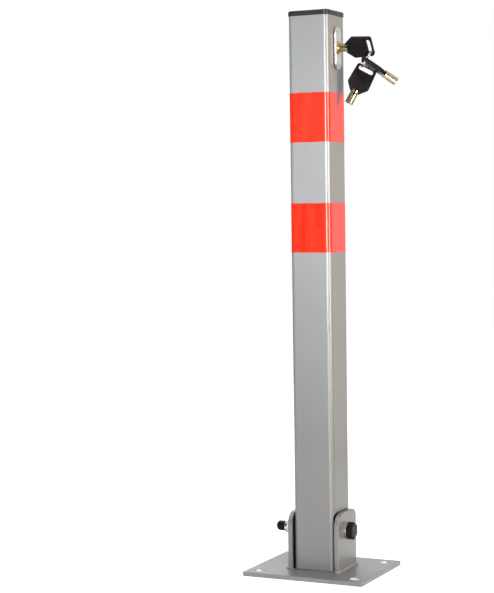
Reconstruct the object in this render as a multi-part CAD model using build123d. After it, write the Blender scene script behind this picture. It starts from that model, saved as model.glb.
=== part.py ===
from build123d import *
import math
import os

# Fold-down bollard: a square steel post that stands between two ears on a base plate.
# A key near its top lifts a locking pin out of the base, and the post folds back onto the ground.
# Millimetres. The origin is the middle of the base plate's underside, +Z is up,
# the front faces -Y, and the lock and the head of the pivot bolt are on +X.

# Base plate, bolted to the ground at four holes
plate_width = 150.0
plate_depth = 125.0
plate_thickness = 5.0
plate_corner_radius = 2.0
plate_edge_break = 0.6
anchor_hole_radius = 6.0
anchor_hole_inset = 15.0

# Post: square steel tube
post_width = 50.0
post_wall = 2.0
post_corner_radius = 5.0
post_top_z = 648.0
fold_sweep_gap = 0.6

# Ears: flat plates welded to the base at both sides of the post
ear_gap = 2.0
ear_thickness = 5.0
ear_depth = 55.0
ear_height = 67.5
ear_front_radius = 16.0
ear_back_radius = 10.0
ear_edge_break = 0.8
weld_leg = 3.2

# Pivot bolt, M10 x 90, with its washers, lock nut and plastic caps
pivot_height = 45.0
bolt_radius = 5.0
thread_beyond_nut = 10.0
bolt_head_flats = 16.0
bolt_head_height = 6.4
bolt_end_chamfer = 1.0
running_clearance = 0.05
washer_radius = 10.0
washer_thickness = 2.0
spacer_radius = 11.0
spacer_play = 0.1
nut_flats = 17.0
nut_hex_height = 8.6
nut_collar_height = 3.4
nut_collar_radius = 7.4
nut_collar_lip = 1.2
insert_thickness = 1.2
insert_height = 1.8
cap_wall = 1.1
cap_fit = 0.1
cap_rounding = 1.2
end_cap_radius = 5.9
end_cap_roof = 1.6
end_cap_rounding = 4.0

# Plastic cap of the post
lid_thickness = 6.0
lid_overhang = 0.8
lid_rounding = 1.8
skirt_depth = 14.0
skirt_wall = 2.0
skirt_fit = 0.15
skirt_web = 1.6
skirt_web_depth = 9.0

# Reflective bands, glued round the post
band_height = 57.0
band_gap = 70.0
band_thickness = 0.2
first_band_drop = 88.0

# Lock: oblong escutcheon, riveted on, with a tubular lock in it
lock_drop = 37.0
escutcheon_length = 52.0
escutcheon_width = 18.0
escutcheon_thickness = 3.0
escutcheon_rounding = 1.0
rivet_spacing = 40.0
rivet_radius = 1.6
rivet_head_radius = 2.3
rivet_head_height = 0.9
barrel_radius = 6.6
barrel_hole_clearance = 0.2
barrel_nose_radius = 7.4
barrel_nose_height = 2.4
barrel_nose_break = 0.5
barrel_length = 21.0
barrel_nut_flats = 18.0
barrel_nut_height = 4.0
plug_radius = 5.5
plug_tail = 1.5
post_pin_radius = 3.1
post_pin_setback = 0.4
keyway_running_clearance = 0.08
pin_count = 7
lock_pin_pitch_radius = 4.15
lock_pin_radius = 0.55
lock_pin_length = 11.0
lock_pin_clearance = 0.08

# Crank behind the lock, which lifts the rod
crank_radius = 10.0
crank_swing = 90.0
crank_thickness = 2.5
crank_hub_radius = 6.5
crank_end_radius = 3.8
crank_pin_radius = 2.0
crank_pin_reach = 11.4
tail_radius = 4.0
tail_flats = 6.0
tail_fit = 0.05
crank_screw_radius = 2.0
crank_screw_length = 9.2
crank_screw_head_radius = 3.6
crank_screw_head_height = 2.2

# Lifting rod with its slotted head, collar and spring; its foot is the locking pin
rod_radius = 4.0
rod_x = -2.5
rod_y = -12.0
rod_tip_height = 0.5
rod_tip_chamfer = 1.0
rod_guide_clearance = 0.08
pin_hole_clearance = 0.4
head_thickness = 4.0
head_margin = 3.0
slot_side_clearance = 0.4
slot_lift_clearance = 0.45
head_drop = 18.0
head_neck_width = 9.0
socket_length = 16.0
socket_wall = 1.5
socket_roof = 2.0
cross_pin_radius = 1.25
guide_thickness = 4.0
guide_fit = 0.1
upper_guide_drop = 51.0
lower_guide_rise = 25.0
collar_radius = 7.5
collar_height = 4.0
spring_length = 53.0
spring_radius = 5.9
spring_wire_radius = 0.6
spring_turns = 7
spring_seat_gap = 0.1

# Keys: a nickel-plated tube with a plastic bow, three of one cut
key_radius = 4.75
key_wall = 0.9
key_bore_depth = 10.0
key_tube_length = 14.0
key_insertion = 7.2
key_end_gap = 0.3
key_shoulder = 3.0
key_notch_length = 2.2
key_notch_depth = 0.7
key_nub_size = 1.2
key_nub_reach = 1.25
key_tang_length = 12.0
key_tang_width = 7.0
key_tang_thickness = 1.8
key_cut_radius = 0.75
key_cut_depths = (0.6, 1.3, 0.9, 1.5, 0.7, 1.1, 0.8)
bow_length = 33.0
bow_thickness = 4.5
bow_neck_width = 11.0
bow_shoulder_width = 26.6
bow_shoulder_length = 9.0
bow_end_width = 24.0
bow_corner_radius = 3.2
bow_edge_rounding = 0.8
bow_slot_length = 18.0
bow_slot_width = 5.0
bow_slot_inset = 4.2
bow_fit = 0.02
bow_tilt = 35.0

# Key ring and the way the two spare keys lie on it.
# Each wire offset is a step from the middle of that bow's slot: towards the bow's end, and along the slot
ring_radius = 11.7
ring_wire_width = 1.6
ring_thickness = 2.6
ring_groove = 0.35
ring_wire_rounding = 0.4
ring_end_gap = 1.5
ring_hang_angle = 40.0
key_wire_offset = (0.8, -6.6)
first_spare_wire_offset = (1.0, -6.1)
second_spare_wire_offset = (0.2, 5.4)
first_spare_round_ring = 135.0
first_spare_lean = -3.3
second_spare_round_ring = 75.0
second_spare_lean = 8.0
second_spare_twist = 30.0

# Places worked out from the sizes above
pivot_z = plate_thickness + pivot_height
sweep_radius = pivot_height - fold_sweep_gap
post_bottom_z = pivot_z - sweep_radius
half_post = post_width / 2
post_inner_width = post_width - 2 * post_wall
post_inner_radius = post_corner_radius - post_wall
ear_inner_x = half_post + ear_gap
ear_outer_x = ear_inner_x + ear_thickness
bolt_seat_x = ear_outer_x + washer_thickness
bolt_bore_radius = bolt_radius + running_clearance
nut_end_x = -bolt_seat_x - nut_hex_height - nut_collar_height
bolt_end_x = nut_end_x - thread_beyond_nut
first_band_top_z = post_top_z - first_band_drop
second_band_top_z = first_band_top_z - band_height - band_gap
lock_z = post_top_z - lock_drop
escutcheon_face_x = half_post + escutcheon_thickness
post_inner_x = half_post - post_wall
nose_face_x = escutcheon_face_x + barrel_nose_height
key_tip_x = nose_face_x - key_insertion
plug_face_x = key_tip_x - key_end_gap
barrel_rear_x = escutcheon_face_x - barrel_length
crank_front_x = barrel_rear_x - plug_tail
crank_back_x = crank_front_x - crank_thickness
half_swing = math.radians(crank_swing / 2)
crank_rise = crank_radius * math.sin(half_swing)
rod_lift = 2 * crank_rise
slot_z = lock_z + crank_rise
slot_near_y = -crank_radius * math.cos(half_swing)
socket_top_z = slot_z - head_drop
socket_bottom_z = socket_top_z - socket_length
rod_top_z = socket_top_z - socket_roof
rod_tip_z = rod_tip_height + rod_lift
upper_guide_z = lock_z - upper_guide_drop
lower_guide_z = pivot_z + lower_guide_rise
collar_top_z = upper_guide_z - spring_length
key_slot_x = key_tube_length + bow_length - bow_slot_inset


def bar_x(radius, from_x, to_x, y=0.0, z=0.0):
    """A round bar along X."""
    middle = Location(((from_x + to_x) / 2, y, z), (0, 90, 0))
    return middle * Cylinder(radius, abs(to_x - from_x))


def bar_z(radius, from_z, to_z, x=0.0, y=0.0):
    """A round bar along Z."""
    return Pos(x, y, (from_z + to_z) / 2) * Cylinder(radius, to_z - from_z)


def block(x_span, y_span, z_span):
    """A box given by its lowest and highest place on each axis."""
    sizes = [high - low for low, high in (x_span, y_span, z_span)]
    middles = [(high + low) / 2 for low, high in (x_span, y_span, z_span)]
    return Pos(*middles) * Box(*sizes)


def turned(profile):
    """A solid turned about X from a closed list of (x, radius) corners."""
    return revolve(make_face(Polyline(*profile, close=True)), Axis.X)


def hexagon_x(flats, from_x, to_x):
    """A hexagonal bar along X with a corner at the top."""
    outline = RegularPolygon(flats / 2, 6, major_radius=False, rotation=30)
    return extrude(Plane.YZ.offset(from_x) * outline, amount=to_x - from_x)


def chamfered_hexagon_x(flats, from_x, to_x):
    """A hexagonal bar along X whose corners are turned off at its far end."""
    corner_radius = flats / math.sqrt(3)
    corner_break = corner_radius - flats / 2
    shoulder_x = to_x - math.copysign(corner_break / 2, to_x - from_x)
    limit = turned([(from_x, 0), (from_x, corner_radius), (shoulder_x, corner_radius),
                    (to_x, flats / 2), (to_x, 0)])
    return hexagon_x(flats, from_x, to_x) & limit


def at_pivot(shape):
    """Moves a shape that was made on the X axis to the pivot's height."""
    return Pos(0, 0, pivot_z) * shape


def at_lock(shape):
    """Moves a shape that was made on the X axis to the lock's height."""
    return Pos(0, 0, lock_z) * shape


def make_base_plate():
    """The plate with its anchor holes and the hole that the locking pin drops into."""
    outline = RectangleRounded(plate_width, plate_depth, plate_corner_radius)
    plate = extrude(outline, amount=plate_thickness)
    plate = chamfer(plate.faces().sort_by(Axis.Z)[-1].outer_wire().edges(), plate_edge_break)
    hole_x = plate_width / 2 - anchor_hole_inset
    hole_y = plate_depth / 2 - anchor_hole_inset
    for x in (-hole_x, hole_x):
        for y in (-hole_y, hole_y):
            plate -= bar_z(anchor_hole_radius, -1, plate_thickness + 1, x, y)
    plate -= bar_z(rod_radius + pin_hole_clearance, -1, plate_thickness + 1, rod_x, rod_y)
    return plate


def ear_block(side):
    """The straight-edged room that one ear takes up."""
    x_span = sorted((side * ear_inner_x, side * ear_outer_x))
    y_span = (-ear_depth / 2, ear_depth / 2)
    return block(x_span, y_span, (plate_thickness, plate_thickness + ear_height))


def make_ear(side):
    """An upright ear, rounded wide at the front and tighter at the back."""
    ear = ear_block(side)
    upright = ear.edges().filter_by(Axis.X).group_by(Axis.Z)[-1].sort_by(Axis.Y)
    ear = fillet(upright[0], ear_front_radius)
    back = ear.edges().filter_by(Axis.X).sort_by(Axis.Y).filter_by(
        lambda edge: edge.center().Z > plate_thickness + ear_height - 1e-3 and edge.center().Y > 0)
    ear = fillet(back, ear_back_radius)
    outer_face = ear.faces().filter_by(Axis.X).sort_by(Axis.X)[-1 if side > 0 else 0]
    rim = [edge for edge in outer_face.edges() if edge.center().Z > plate_thickness + 1e-3]
    ear = chamfer(rim, ear_edge_break)
    return ear - at_pivot(bar_x(bolt_bore_radius, side * (ear_inner_x - 1), side * (ear_outer_x + 1)))


def make_ear_weld(side):
    """A fillet weld along the outside of an ear's foot and round both its ends."""
    half_depth = ear_depth / 2
    x_outer = side * ear_outer_x
    long_run = Location((x_outer, 0, plate_thickness), (90, 0, 0)) * Cylinder(weld_leg, ear_depth)
    bead = long_run
    for y in (-half_depth, half_depth):
        corner = Pos(x_outer, y, plate_thickness)
        bead += corner * Sphere(weld_leg)
        bead += bar_x(weld_leg, side * ear_inner_x, x_outer, y, plate_thickness)
    above = block((-plate_width, plate_width), (-plate_depth, plate_depth),
                  (plate_thickness, plate_thickness + 2 * weld_leg))
    return (bead & above) - ear_block(side)


def make_pivot_bolt():
    """A hexagon bolt with its head on the lock's side."""
    head = chamfered_hexagon_x(bolt_head_flats, bolt_seat_x, bolt_seat_x + bolt_head_height)
    shank = turned([(bolt_seat_x, 0), (bolt_seat_x, bolt_radius),
                    (bolt_end_x + bolt_end_chamfer, bolt_radius),
                    (bolt_end_x, bolt_radius - bolt_end_chamfer), (bolt_end_x, 0)])
    return at_pivot(head + shank)


def washer(radius, from_x, to_x):
    """A flat ring on the pivot bolt."""
    return at_pivot(bar_x(radius, from_x, to_x) - bar_x(bolt_bore_radius, from_x - 1, to_x + 1))


def make_pivot_washers():
    """Steel washers under the bolt's head and under its nut."""
    right = washer(washer_radius, ear_outer_x, bolt_seat_x)
    left = washer(washer_radius, -bolt_seat_x, -ear_outer_x)
    return Compound([*right.solids(), *left.solids()])


def make_spacer_washers():
    """Nylon washers that keep the post clear of both ears."""
    right = washer(spacer_radius, half_post + spacer_play, ear_inner_x)
    left = washer(spacer_radius, -ear_inner_x, -half_post - spacer_play)
    return Compound([*right.solids(), *left.solids()])


def make_lock_nut():
    """A self-locking nut, whose collar holds the nylon insert."""
    hex_end_x = -bolt_seat_x - nut_hex_height
    insert_x = hex_end_x - (nut_collar_height - insert_height) / 2
    body = chamfered_hexagon_x(nut_flats, -bolt_seat_x, hex_end_x)
    body += turned([(hex_end_x + 1, 0), (hex_end_x + 1, nut_collar_radius),
                    (nut_end_x + nut_collar_lip, nut_collar_radius),
                    (nut_end_x, nut_collar_radius - nut_collar_lip), (nut_end_x, 0)])
    body -= bar_x(bolt_bore_radius, -bolt_seat_x + 1, nut_end_x - 1)
    return at_pivot(body - bar_x(bolt_bore_radius + insert_thickness, insert_x, insert_x - insert_height))


def make_lock_nut_insert():
    """The nylon ring that grips the bolt's thread."""
    hex_end_x = -bolt_seat_x - nut_hex_height
    insert_x = hex_end_x - (nut_collar_height - insert_height) / 2
    ring = bar_x(bolt_bore_radius + insert_thickness, insert_x, insert_x - insert_height)
    return at_pivot(ring - bar_x(bolt_bore_radius, insert_x + 1, insert_x - insert_height - 1))


def make_bolt_head_cap():
    """A moulded hexagonal cap pushed over the bolt's head."""
    inner_flats = bolt_head_flats + 2 * cap_fit
    inner_x = bolt_seat_x + bolt_head_height + cap_fit
    outer = hexagon_x(inner_flats + 2 * cap_wall, bolt_seat_x, inner_x + cap_wall)
    end_face = outer.faces().sort_by(Axis.X)[-1]
    outer = fillet(end_face.edges(), cap_rounding * 0.9)
    return at_pivot(outer - hexagon_x(inner_flats, bolt_seat_x - 1, inner_x))


def make_thread_end_cap():
    """A domed plastic cap over the bolt's end."""
    cap = bar_x(end_cap_radius, bolt_end_x - end_cap_roof, nut_end_x)
    cap = fillet(cap.edges().sort_by(Axis.X)[0], end_cap_rounding)
    end_x = bolt_end_x - cap_fit
    bore = turned([(nut_end_x + 1, 0), (nut_end_x + 1, bolt_bore_radius),
                   (end_x + bolt_end_chamfer, bolt_bore_radius),
                   (end_x, bolt_bore_radius - bolt_end_chamfer), (end_x, 0)])
    return at_pivot(cap - bore)


def square_tube(outer_width, outer_radius, wall, from_z, to_z):
    """A square tube with rounded corners, along Z."""
    inner_width = outer_width - 2 * wall
    outline = RectangleRounded(outer_width, outer_width, outer_radius)
    outline -= RectangleRounded(inner_width, inner_width, outer_radius - wall)
    return Pos(0, 0, from_z) * extrude(outline, amount=to_z - from_z)


def rivet_places():
    """The heights of the escutcheon's two rivets."""
    return (lock_z - rivet_spacing / 2, lock_z + rivet_spacing / 2)


def make_post_tube():
    """The post, rounded off below and behind the pivot so that it can fold back."""
    tube = square_tube(post_width, post_corner_radius, post_wall, post_bottom_z, post_top_z)
    swept_away = block((-post_width, post_width), (0, post_width), (post_bottom_z - 1, pivot_z))
    swept_away -= at_pivot(bar_x(sweep_radius, -post_width, post_width))
    tube -= swept_away
    tube -= at_pivot(bar_x(bolt_bore_radius, -post_width, post_width))
    tube -= at_lock(bar_x(barrel_radius + barrel_hole_clearance, post_inner_x - 1, half_post + 1))
    for z in rivet_places():
        tube -= bar_x(rivet_radius, post_inner_x - 1, half_post + 1, 0, z)
    return tube


def make_post_cap():
    """The moulded lid with the skirt and webs that hold it in the tube."""
    lid_width = post_width + 2 * lid_overhang
    lid = extrude(RectangleRounded(lid_width, lid_width, post_corner_radius + lid_overhang), amount=lid_thickness)
    lid = fillet(lid.faces().sort_by(Axis.Z)[-1].edges(), lid_rounding)
    lid = Pos(0, 0, post_top_z) * lid
    skirt_width = post_inner_width - 2 * skirt_fit
    bottom_z = post_top_z - skirt_depth
    skirt = square_tube(skirt_width, post_inner_radius - skirt_fit, skirt_wall, bottom_z, post_top_z)
    half_web = skirt_web / 2
    half_span = skirt_width / 2 - skirt_wall / 2
    web_span = (post_top_z - skirt_web_depth, post_top_z)
    webs = block((-half_span, half_span), (-half_web, half_web), web_span)
    webs += block((-half_web, half_web), (-half_span, half_span), web_span)
    return lid + skirt + webs


def make_band(top_z):
    """A reflective band wrapped round the post."""
    width = post_width + 2 * band_thickness
    radius = post_corner_radius + band_thickness
    return square_tube(width, radius, band_thickness, top_z - band_height, top_z)


def make_escutcheon():
    """The raised oblong plate round the lock."""
    outline = Plane.YZ.offset(half_post) * SlotOverall(escutcheon_length, escutcheon_width, rotation=90)
    plate = extrude(outline, amount=escutcheon_thickness)
    plate = fillet(plate.faces().sort_by(Axis.X)[-1].edges(), escutcheon_rounding)
    plate = at_lock(plate)
    plate -= at_lock(bar_x(barrel_radius + barrel_hole_clearance, half_post - 1, escutcheon_face_x + 1))
    for z in rivet_places():
        plate -= bar_x(rivet_radius, half_post - 1, escutcheon_face_x + 1, 0, z)
    return plate


def make_rivets():
    """Two rivets that hold the escutcheon, with their heads formed over inside the tube."""
    head_x = escutcheon_face_x + rivet_head_height
    tail_x = post_inner_x - rivet_head_height
    rivet = turned([(tail_x, 0), (tail_x, rivet_radius), (post_inner_x, rivet_head_radius),
                    (post_inner_x, rivet_radius), (escutcheon_face_x, rivet_radius),
                    (escutcheon_face_x, rivet_head_radius), (head_x, rivet_radius), (head_x, 0)])
    return Compound([solid for z in rivet_places() for solid in (Pos(0, 0, z) * rivet).solids()])


def make_lock_barrel():
    """The lock's turned housing: a nose outside, and the ring-shaped keyway in it."""
    keyway_radius = key_radius + keyway_running_clearance
    bore_radius = plug_radius + running_clearance
    step_x = plug_face_x + running_clearance
    body = turned([(barrel_rear_x, bore_radius), (barrel_rear_x, barrel_radius),
                   (escutcheon_face_x, barrel_radius), (escutcheon_face_x, barrel_nose_radius),
                   (nose_face_x - barrel_nose_break, barrel_nose_radius),
                   (nose_face_x, barrel_nose_radius - barrel_nose_break),
                   (nose_face_x, keyway_radius), (step_x, keyway_radius), (step_x, bore_radius)])
    return at_lock(body)


def make_barrel_nut():
    """The nut that clamps the lock's housing from inside the post."""
    nut = hexagon_x(barrel_nut_flats, post_inner_x - barrel_nut_height, post_inner_x)
    return at_lock(nut - bar_x(barrel_radius + tail_fit, post_inner_x - barrel_nut_height - 1, post_inner_x + 1))


def pin_places():
    """The angle of each lock pin round the key's axis, and the depth of its cut in the key."""
    return [(360.0 * number / pin_count, key_cut_depths[number]) for number in range(pin_count)]


def round_axis(radius, angle):
    """The Y and Z of a place at this radius and angle round the lock's axis."""
    return radius * math.cos(math.radians(angle)), radius * math.sin(math.radians(angle))


def make_lock_plug():
    """The part that turns with the key: a core with a centre post, pin holes and a flat-sided tail."""
    nub_slot_floor = post_pin_radius - key_nub_reach - keyway_running_clearance
    plug = bar_x(plug_radius, crank_front_x, plug_face_x)
    plug += bar_x(post_pin_radius, plug_face_x, nose_face_x - post_pin_setback)
    tail = bar_x(tail_radius, crank_back_x, crank_front_x)
    tail &= block((crank_back_x, crank_front_x), (-tail_flats / 2, tail_flats / 2), (-tail_radius, tail_radius))
    plug += tail
    half_slot = key_nub_size / 2 + keyway_running_clearance
    plug -= block((plug_face_x, nose_face_x), (-half_slot, half_slot), (nub_slot_floor, 2 * post_pin_radius))
    for angle, _ in pin_places():
        y, z = round_axis(lock_pin_pitch_radius, angle)
        hole_end_x = plug_face_x - lock_pin_length
        plug -= bar_x(lock_pin_radius + lock_pin_clearance, hole_end_x, plug_face_x + 1, y, z)
    plug -= bar_x(crank_screw_radius, crank_back_x - 1, crank_back_x + crank_screw_length)
    return at_lock(plug)


def make_lock_pins():
    """Seven sprung pins, each standing as far out as its cut in the key lets it."""
    pins = []
    for angle, cut_depth in pin_places():
        y, z = round_axis(lock_pin_pitch_radius, angle)
        back_x = plug_face_x - lock_pin_length
        front_x = key_tip_x + cut_depth - key_end_gap / 2
        pins.extend(at_lock(bar_x(lock_pin_radius, back_x, front_x, y, z)).solids())
    return Compound(pins)


def crank_pin_place():
    """The Y and Z of the crank's pin, from the lock's axis, with the rod lifted."""
    return slot_near_y, crank_rise


def make_crank():
    """The arm on the plug's tail, which points up and forward when the rod is lifted."""
    pin_y, pin_z = crank_pin_place()
    hub = Circle(crank_hub_radius)
    end = Pos(pin_y, pin_z) * Circle(crank_end_radius)
    arm_width = 2 * crank_end_radius
    along = Location((pin_y / 2, pin_z / 2), 180 - math.degrees(half_swing))
    outline = hub + end + along * Rectangle(crank_radius, arm_width)
    arm = extrude(Plane.YZ.offset(crank_back_x) * outline, amount=crank_thickness)
    tail = bar_x(tail_radius + tail_fit, crank_back_x - 1, crank_front_x + 1)
    half_flats = tail_flats / 2 + tail_fit
    tail &= block((crank_back_x - 1, crank_front_x + 1), (-half_flats, half_flats), (-tail_radius - 1, tail_radius + 1))
    arm -= tail
    arm -= bar_x(crank_pin_radius + tail_fit, crank_back_x - 1, crank_front_x + 1, pin_y, pin_z)
    return at_lock(arm)


def make_crank_pin():
    """The pin that runs in the rod head's slot."""
    pin_y, pin_z = crank_pin_place()
    return at_lock(bar_x(crank_pin_radius, crank_front_x - crank_pin_reach, crank_front_x, pin_y, pin_z))


def make_crank_screw():
    """The screw that holds the crank on the plug."""
    head_x = crank_back_x - crank_screw_head_height
    end_x = crank_back_x + crank_screw_length
    screw = turned([(head_x, 0), (head_x, crank_screw_head_radius - 0.5), (head_x + 0.5, crank_screw_head_radius),
                    (crank_back_x, crank_screw_head_radius), (crank_back_x, crank_screw_radius - tail_fit),
                    (end_x, crank_screw_radius - tail_fit), (end_x, 0)])
    return at_lock(screw)


def make_rod_head():
    """The flat head with a cross slot for the crank's pin, and the socket for the rod."""
    half_thickness = head_thickness / 2
    slot_length = crank_radius + slot_near_y + 2 * (crank_pin_radius + slot_side_clearance)
    slot_height = 2 * (crank_pin_radius + slot_lift_clearance)
    slot_middle_y = (slot_near_y - crank_radius) / 2
    slot_place = Plane.YZ.offset(rod_x - half_thickness) * Pos(slot_middle_y, slot_z)
    outer = slot_place * RectangleRounded(slot_length + 2 * head_margin, slot_height + 2 * head_margin, head_margin)
    opening = slot_place * SlotOverall(slot_length, slot_height)
    head = extrude(outer, amount=head_thickness)
    neck_y = (rod_y - head_neck_width / 2, rod_y + head_neck_width / 2)
    head += block((rod_x - half_thickness, rod_x + half_thickness), neck_y, (socket_top_z - 1, slot_z))
    head -= extrude(opening, amount=head_thickness)
    head += bar_z(rod_radius + socket_wall, socket_bottom_z, socket_top_z, rod_x, rod_y)
    head -= bar_z(rod_radius + tail_fit, socket_bottom_z - 1, rod_top_z, rod_x, rod_y)
    return head - cross_pin(socket_middle_z(), cross_pin_radius)


def socket_middle_z():
    """The height of the cross pin in the rod head's socket."""
    return (socket_bottom_z + rod_top_z) / 2


def collar_middle_z():
    """The height of the cross pin in the spring's collar."""
    return collar_top_z - collar_height / 2


def cross_pin(z, radius, half_length=rod_radius + socket_wall):
    """A pin across the rod, along X."""
    return bar_x(radius, rod_x - half_length, rod_x + half_length, rod_y, z)


def make_lifting_rod():
    """The rod, whose chamfered foot is the locking pin."""
    rod = bar_z(rod_radius, rod_tip_z, rod_top_z, rod_x, rod_y)
    rod = chamfer(rod.edges().sort_by(Axis.Z)[0], rod_tip_chamfer)
    rod -= cross_pin(socket_middle_z(), cross_pin_radius)
    return rod - cross_pin(collar_middle_z(), cross_pin_radius, collar_radius)


def make_spring_collar():
    """The collar that the spring pushes down on."""
    collar = bar_z(collar_radius, collar_top_z - collar_height, collar_top_z, rod_x, rod_y)
    collar -= bar_z(rod_radius + tail_fit, collar_top_z - collar_height - 1, collar_top_z + 1, rod_x, rod_y)
    return collar - cross_pin(collar_middle_z(), cross_pin_radius, collar_radius)


def make_cross_pins():
    """One pin for the rod's head and one for its collar."""
    head_pin = cross_pin(socket_middle_z(), cross_pin_radius)
    collar_pin = cross_pin(collar_middle_z(), cross_pin_radius, collar_radius)
    return Compound([*head_pin.solids(), *collar_pin.solids()])


def make_guide(bottom_z):
    """A plate across the inside of the post that the rod slides through."""
    width = post_inner_width - 2 * guide_fit
    guide = extrude(RectangleRounded(width, width, post_inner_radius - guide_fit), amount=guide_thickness)
    guide = Pos(0, 0, bottom_z) * guide
    hole_radius = rod_radius + rod_guide_clearance
    return guide - bar_z(hole_radius, bottom_z - 1, bottom_z + guide_thickness + 1, rod_x, rod_y)


def make_lift_spring():
    """The compression spring between the upper guide and the collar."""
    inset = spring_seat_gap + spring_wire_radius
    height = spring_length - 2 * inset
    path = Helix(height / spring_turns, height, spring_radius)
    wire_section = Plane(origin=path @ 0, z_dir=path % 0) * Circle(spring_wire_radius)
    coil = sweep(wire_section, path=path)
    return Pos(rod_x, rod_y, collar_top_z + inset) * coil


def make_key_shaft():
    """A tubular key's metal: X runs from its tip to its bow, and Y across the bow."""
    end_x = key_tube_length + key_shoulder
    shaft = bar_x(key_radius, 0, end_x) - bar_x(key_radius - key_wall, -1, key_bore_depth)
    bore_radius = key_radius - key_wall
    half_nub = key_nub_size / 2
    nub_depth = bore_radius - post_pin_radius + key_nub_reach
    nub = block((0, key_nub_size), (-half_nub, half_nub), (bore_radius - nub_depth, bore_radius + key_wall / 2))
    shaft += Rot(-90 - bow_tilt, 0, 0) * nub
    notch_from_x = key_tube_length - key_notch_length
    for side in (-1, 1):
        z_span = sorted((side * (key_radius - key_notch_depth), side * 2 * key_radius))
        shaft -= block((notch_from_x, key_tube_length), (-key_radius, key_radius), z_span)
    for angle, cut_depth in pin_places():
        y, z = round_axis(lock_pin_pitch_radius, angle - 90 - bow_tilt)
        shaft -= bar_x(key_cut_radius, -1, cut_depth, y, z)
    half_tang = key_tang_width / 2
    half_sheet = key_tang_thickness / 2
    return shaft + block((end_x - 1, end_x + key_tang_length), (-half_tang, half_tang), (-half_sheet, half_sheet))


def make_key_bow():
    """A tubular key's moulded grip, with the slot that the ring runs in."""
    shoulder_x = key_tube_length + bow_shoulder_length
    end_x = key_tube_length + bow_length
    upper = [(key_tube_length, bow_neck_width / 2), (shoulder_x, bow_shoulder_width / 2),
             (end_x, bow_end_width / 2)]
    lower = [(x, -y) for x, y in reversed(upper)]
    outline = make_face(Polyline(*upper, *lower, close=True))
    outer_corners = outline.vertices().group_by(Axis.X)[1:]
    outline = fillet([corner for group in outer_corners for corner in group], bow_corner_radius)
    bow = Pos(0, 0, -bow_thickness / 2) * extrude(outline, amount=bow_thickness)
    bow = fillet(bow.faces().filter_by(Axis.Z).edges(), bow_edge_rounding)
    slot = Pos(key_slot_x, 0, -bow_thickness) * SlotOverall(bow_slot_length, bow_slot_width, rotation=90)
    bow -= extrude(slot, amount=2 * bow_thickness)
    tube_end_x = key_tube_length + key_shoulder
    bow -= bar_x(key_radius + bow_fit, 0, tube_end_x + bow_fit)
    half_tang = key_tang_width / 2 + bow_fit
    half_sheet = key_tang_thickness / 2 + bow_fit
    tang_span = (tube_end_x - 1, tube_end_x + key_tang_length + bow_fit)
    return bow - block(tang_span, (-half_tang, half_tang), (-half_sheet, half_sheet))


def make_key_ring():
    """A split ring of two coils about Z, with the step where its wire ends."""
    inner = ring_radius - ring_wire_width / 2
    outer = ring_radius + ring_wire_width / 2
    half = ring_thickness / 2
    corner = ring_wire_rounding
    side = [(inner, ring_groove), (inner, half - corner), (inner + corner, half),
            (outer - corner, half), (outer, half - corner), (outer, ring_groove)]
    groove_floor = (outer - ring_groove, 0)
    groove_roof = (inner + ring_groove, 0)
    mirrored = [(radius, -height) for radius, height in reversed(side)]
    section = make_face(Polyline(groove_roof, *side, groove_floor, *mirrored, close=True))
    ring = revolve(Plane.XZ * section, Axis.Z)
    half_gap = ring_end_gap / 2
    return ring - block((-half_gap, half_gap), (0, 2 * outer), (0, ring_thickness))


def key_place():
    """Where the key sits in the lock: its bow leans back at the foot."""
    return Location((key_tip_x, 0, lock_z), (90 + bow_tilt, 0, 0))


def wire_point(offset):
    """Where the ring's wire passes through a bow, from the key's tip."""
    toward_end, along_slot = offset
    return Vector(key_slot_x + toward_end, along_slot, 0)


def ring_place():
    """The ring's middle, from the low end of the slot in the key's bow."""
    hang = math.radians(ring_hang_angle)
    to_middle = Vector(-math.sin(hang), -math.cos(hang), 0)
    wire = wire_point(key_wire_offset)
    normal = Vector(math.cos(hang), -math.sin(hang), 0)
    local = Plane(origin=wire + to_middle * ring_radius, x_dir=-to_middle, z_dir=normal)
    return key_place() * local.location


def place_on_ring(angle, lean):
    """A place on the ring's wire: X points outward and Y along the wire, turned by the lean about Y."""
    return ring_place() * Rot(0, 0, angle) * Pos(ring_radius, 0, 0) * Rot(0, lean, 0)


def first_spare_place():
    """The first spare key hangs from the ring, flat across the wire."""
    seat = Plane(origin=(0, 0, 0), x_dir=(-1, 0, 0), z_dir=(0, 1, 0)).location
    to_tip = -wire_point(first_spare_wire_offset)
    return place_on_ring(first_spare_round_ring, first_spare_lean) * seat * Pos(to_tip)


def second_spare_place():
    """The second spare key sticks out sideways from the ring."""
    twist = math.radians(second_spare_twist)
    seat = Plane(origin=(0, 0, 0), x_dir=(0, 0, -1), z_dir=(math.sin(twist), math.cos(twist), 0)).location
    to_tip = -wire_point(second_spare_wire_offset)
    return place_on_ring(second_spare_round_ring, second_spare_lean) * seat * Pos(to_tip)


def print_joint(name, place, axis):
    """Prints where a joint turns, in metres, and the direction of its axis."""
    start = place.position
    tip = (place * Pos(*axis)).position
    direction = tip - start
    metres = [round(value / 1000, 6) for value in start]
    print(name, "at", metres, "axis", [round(value, 6) for value in direction])


key_shaft = make_key_shaft()
key_bow = make_key_bow()

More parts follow.
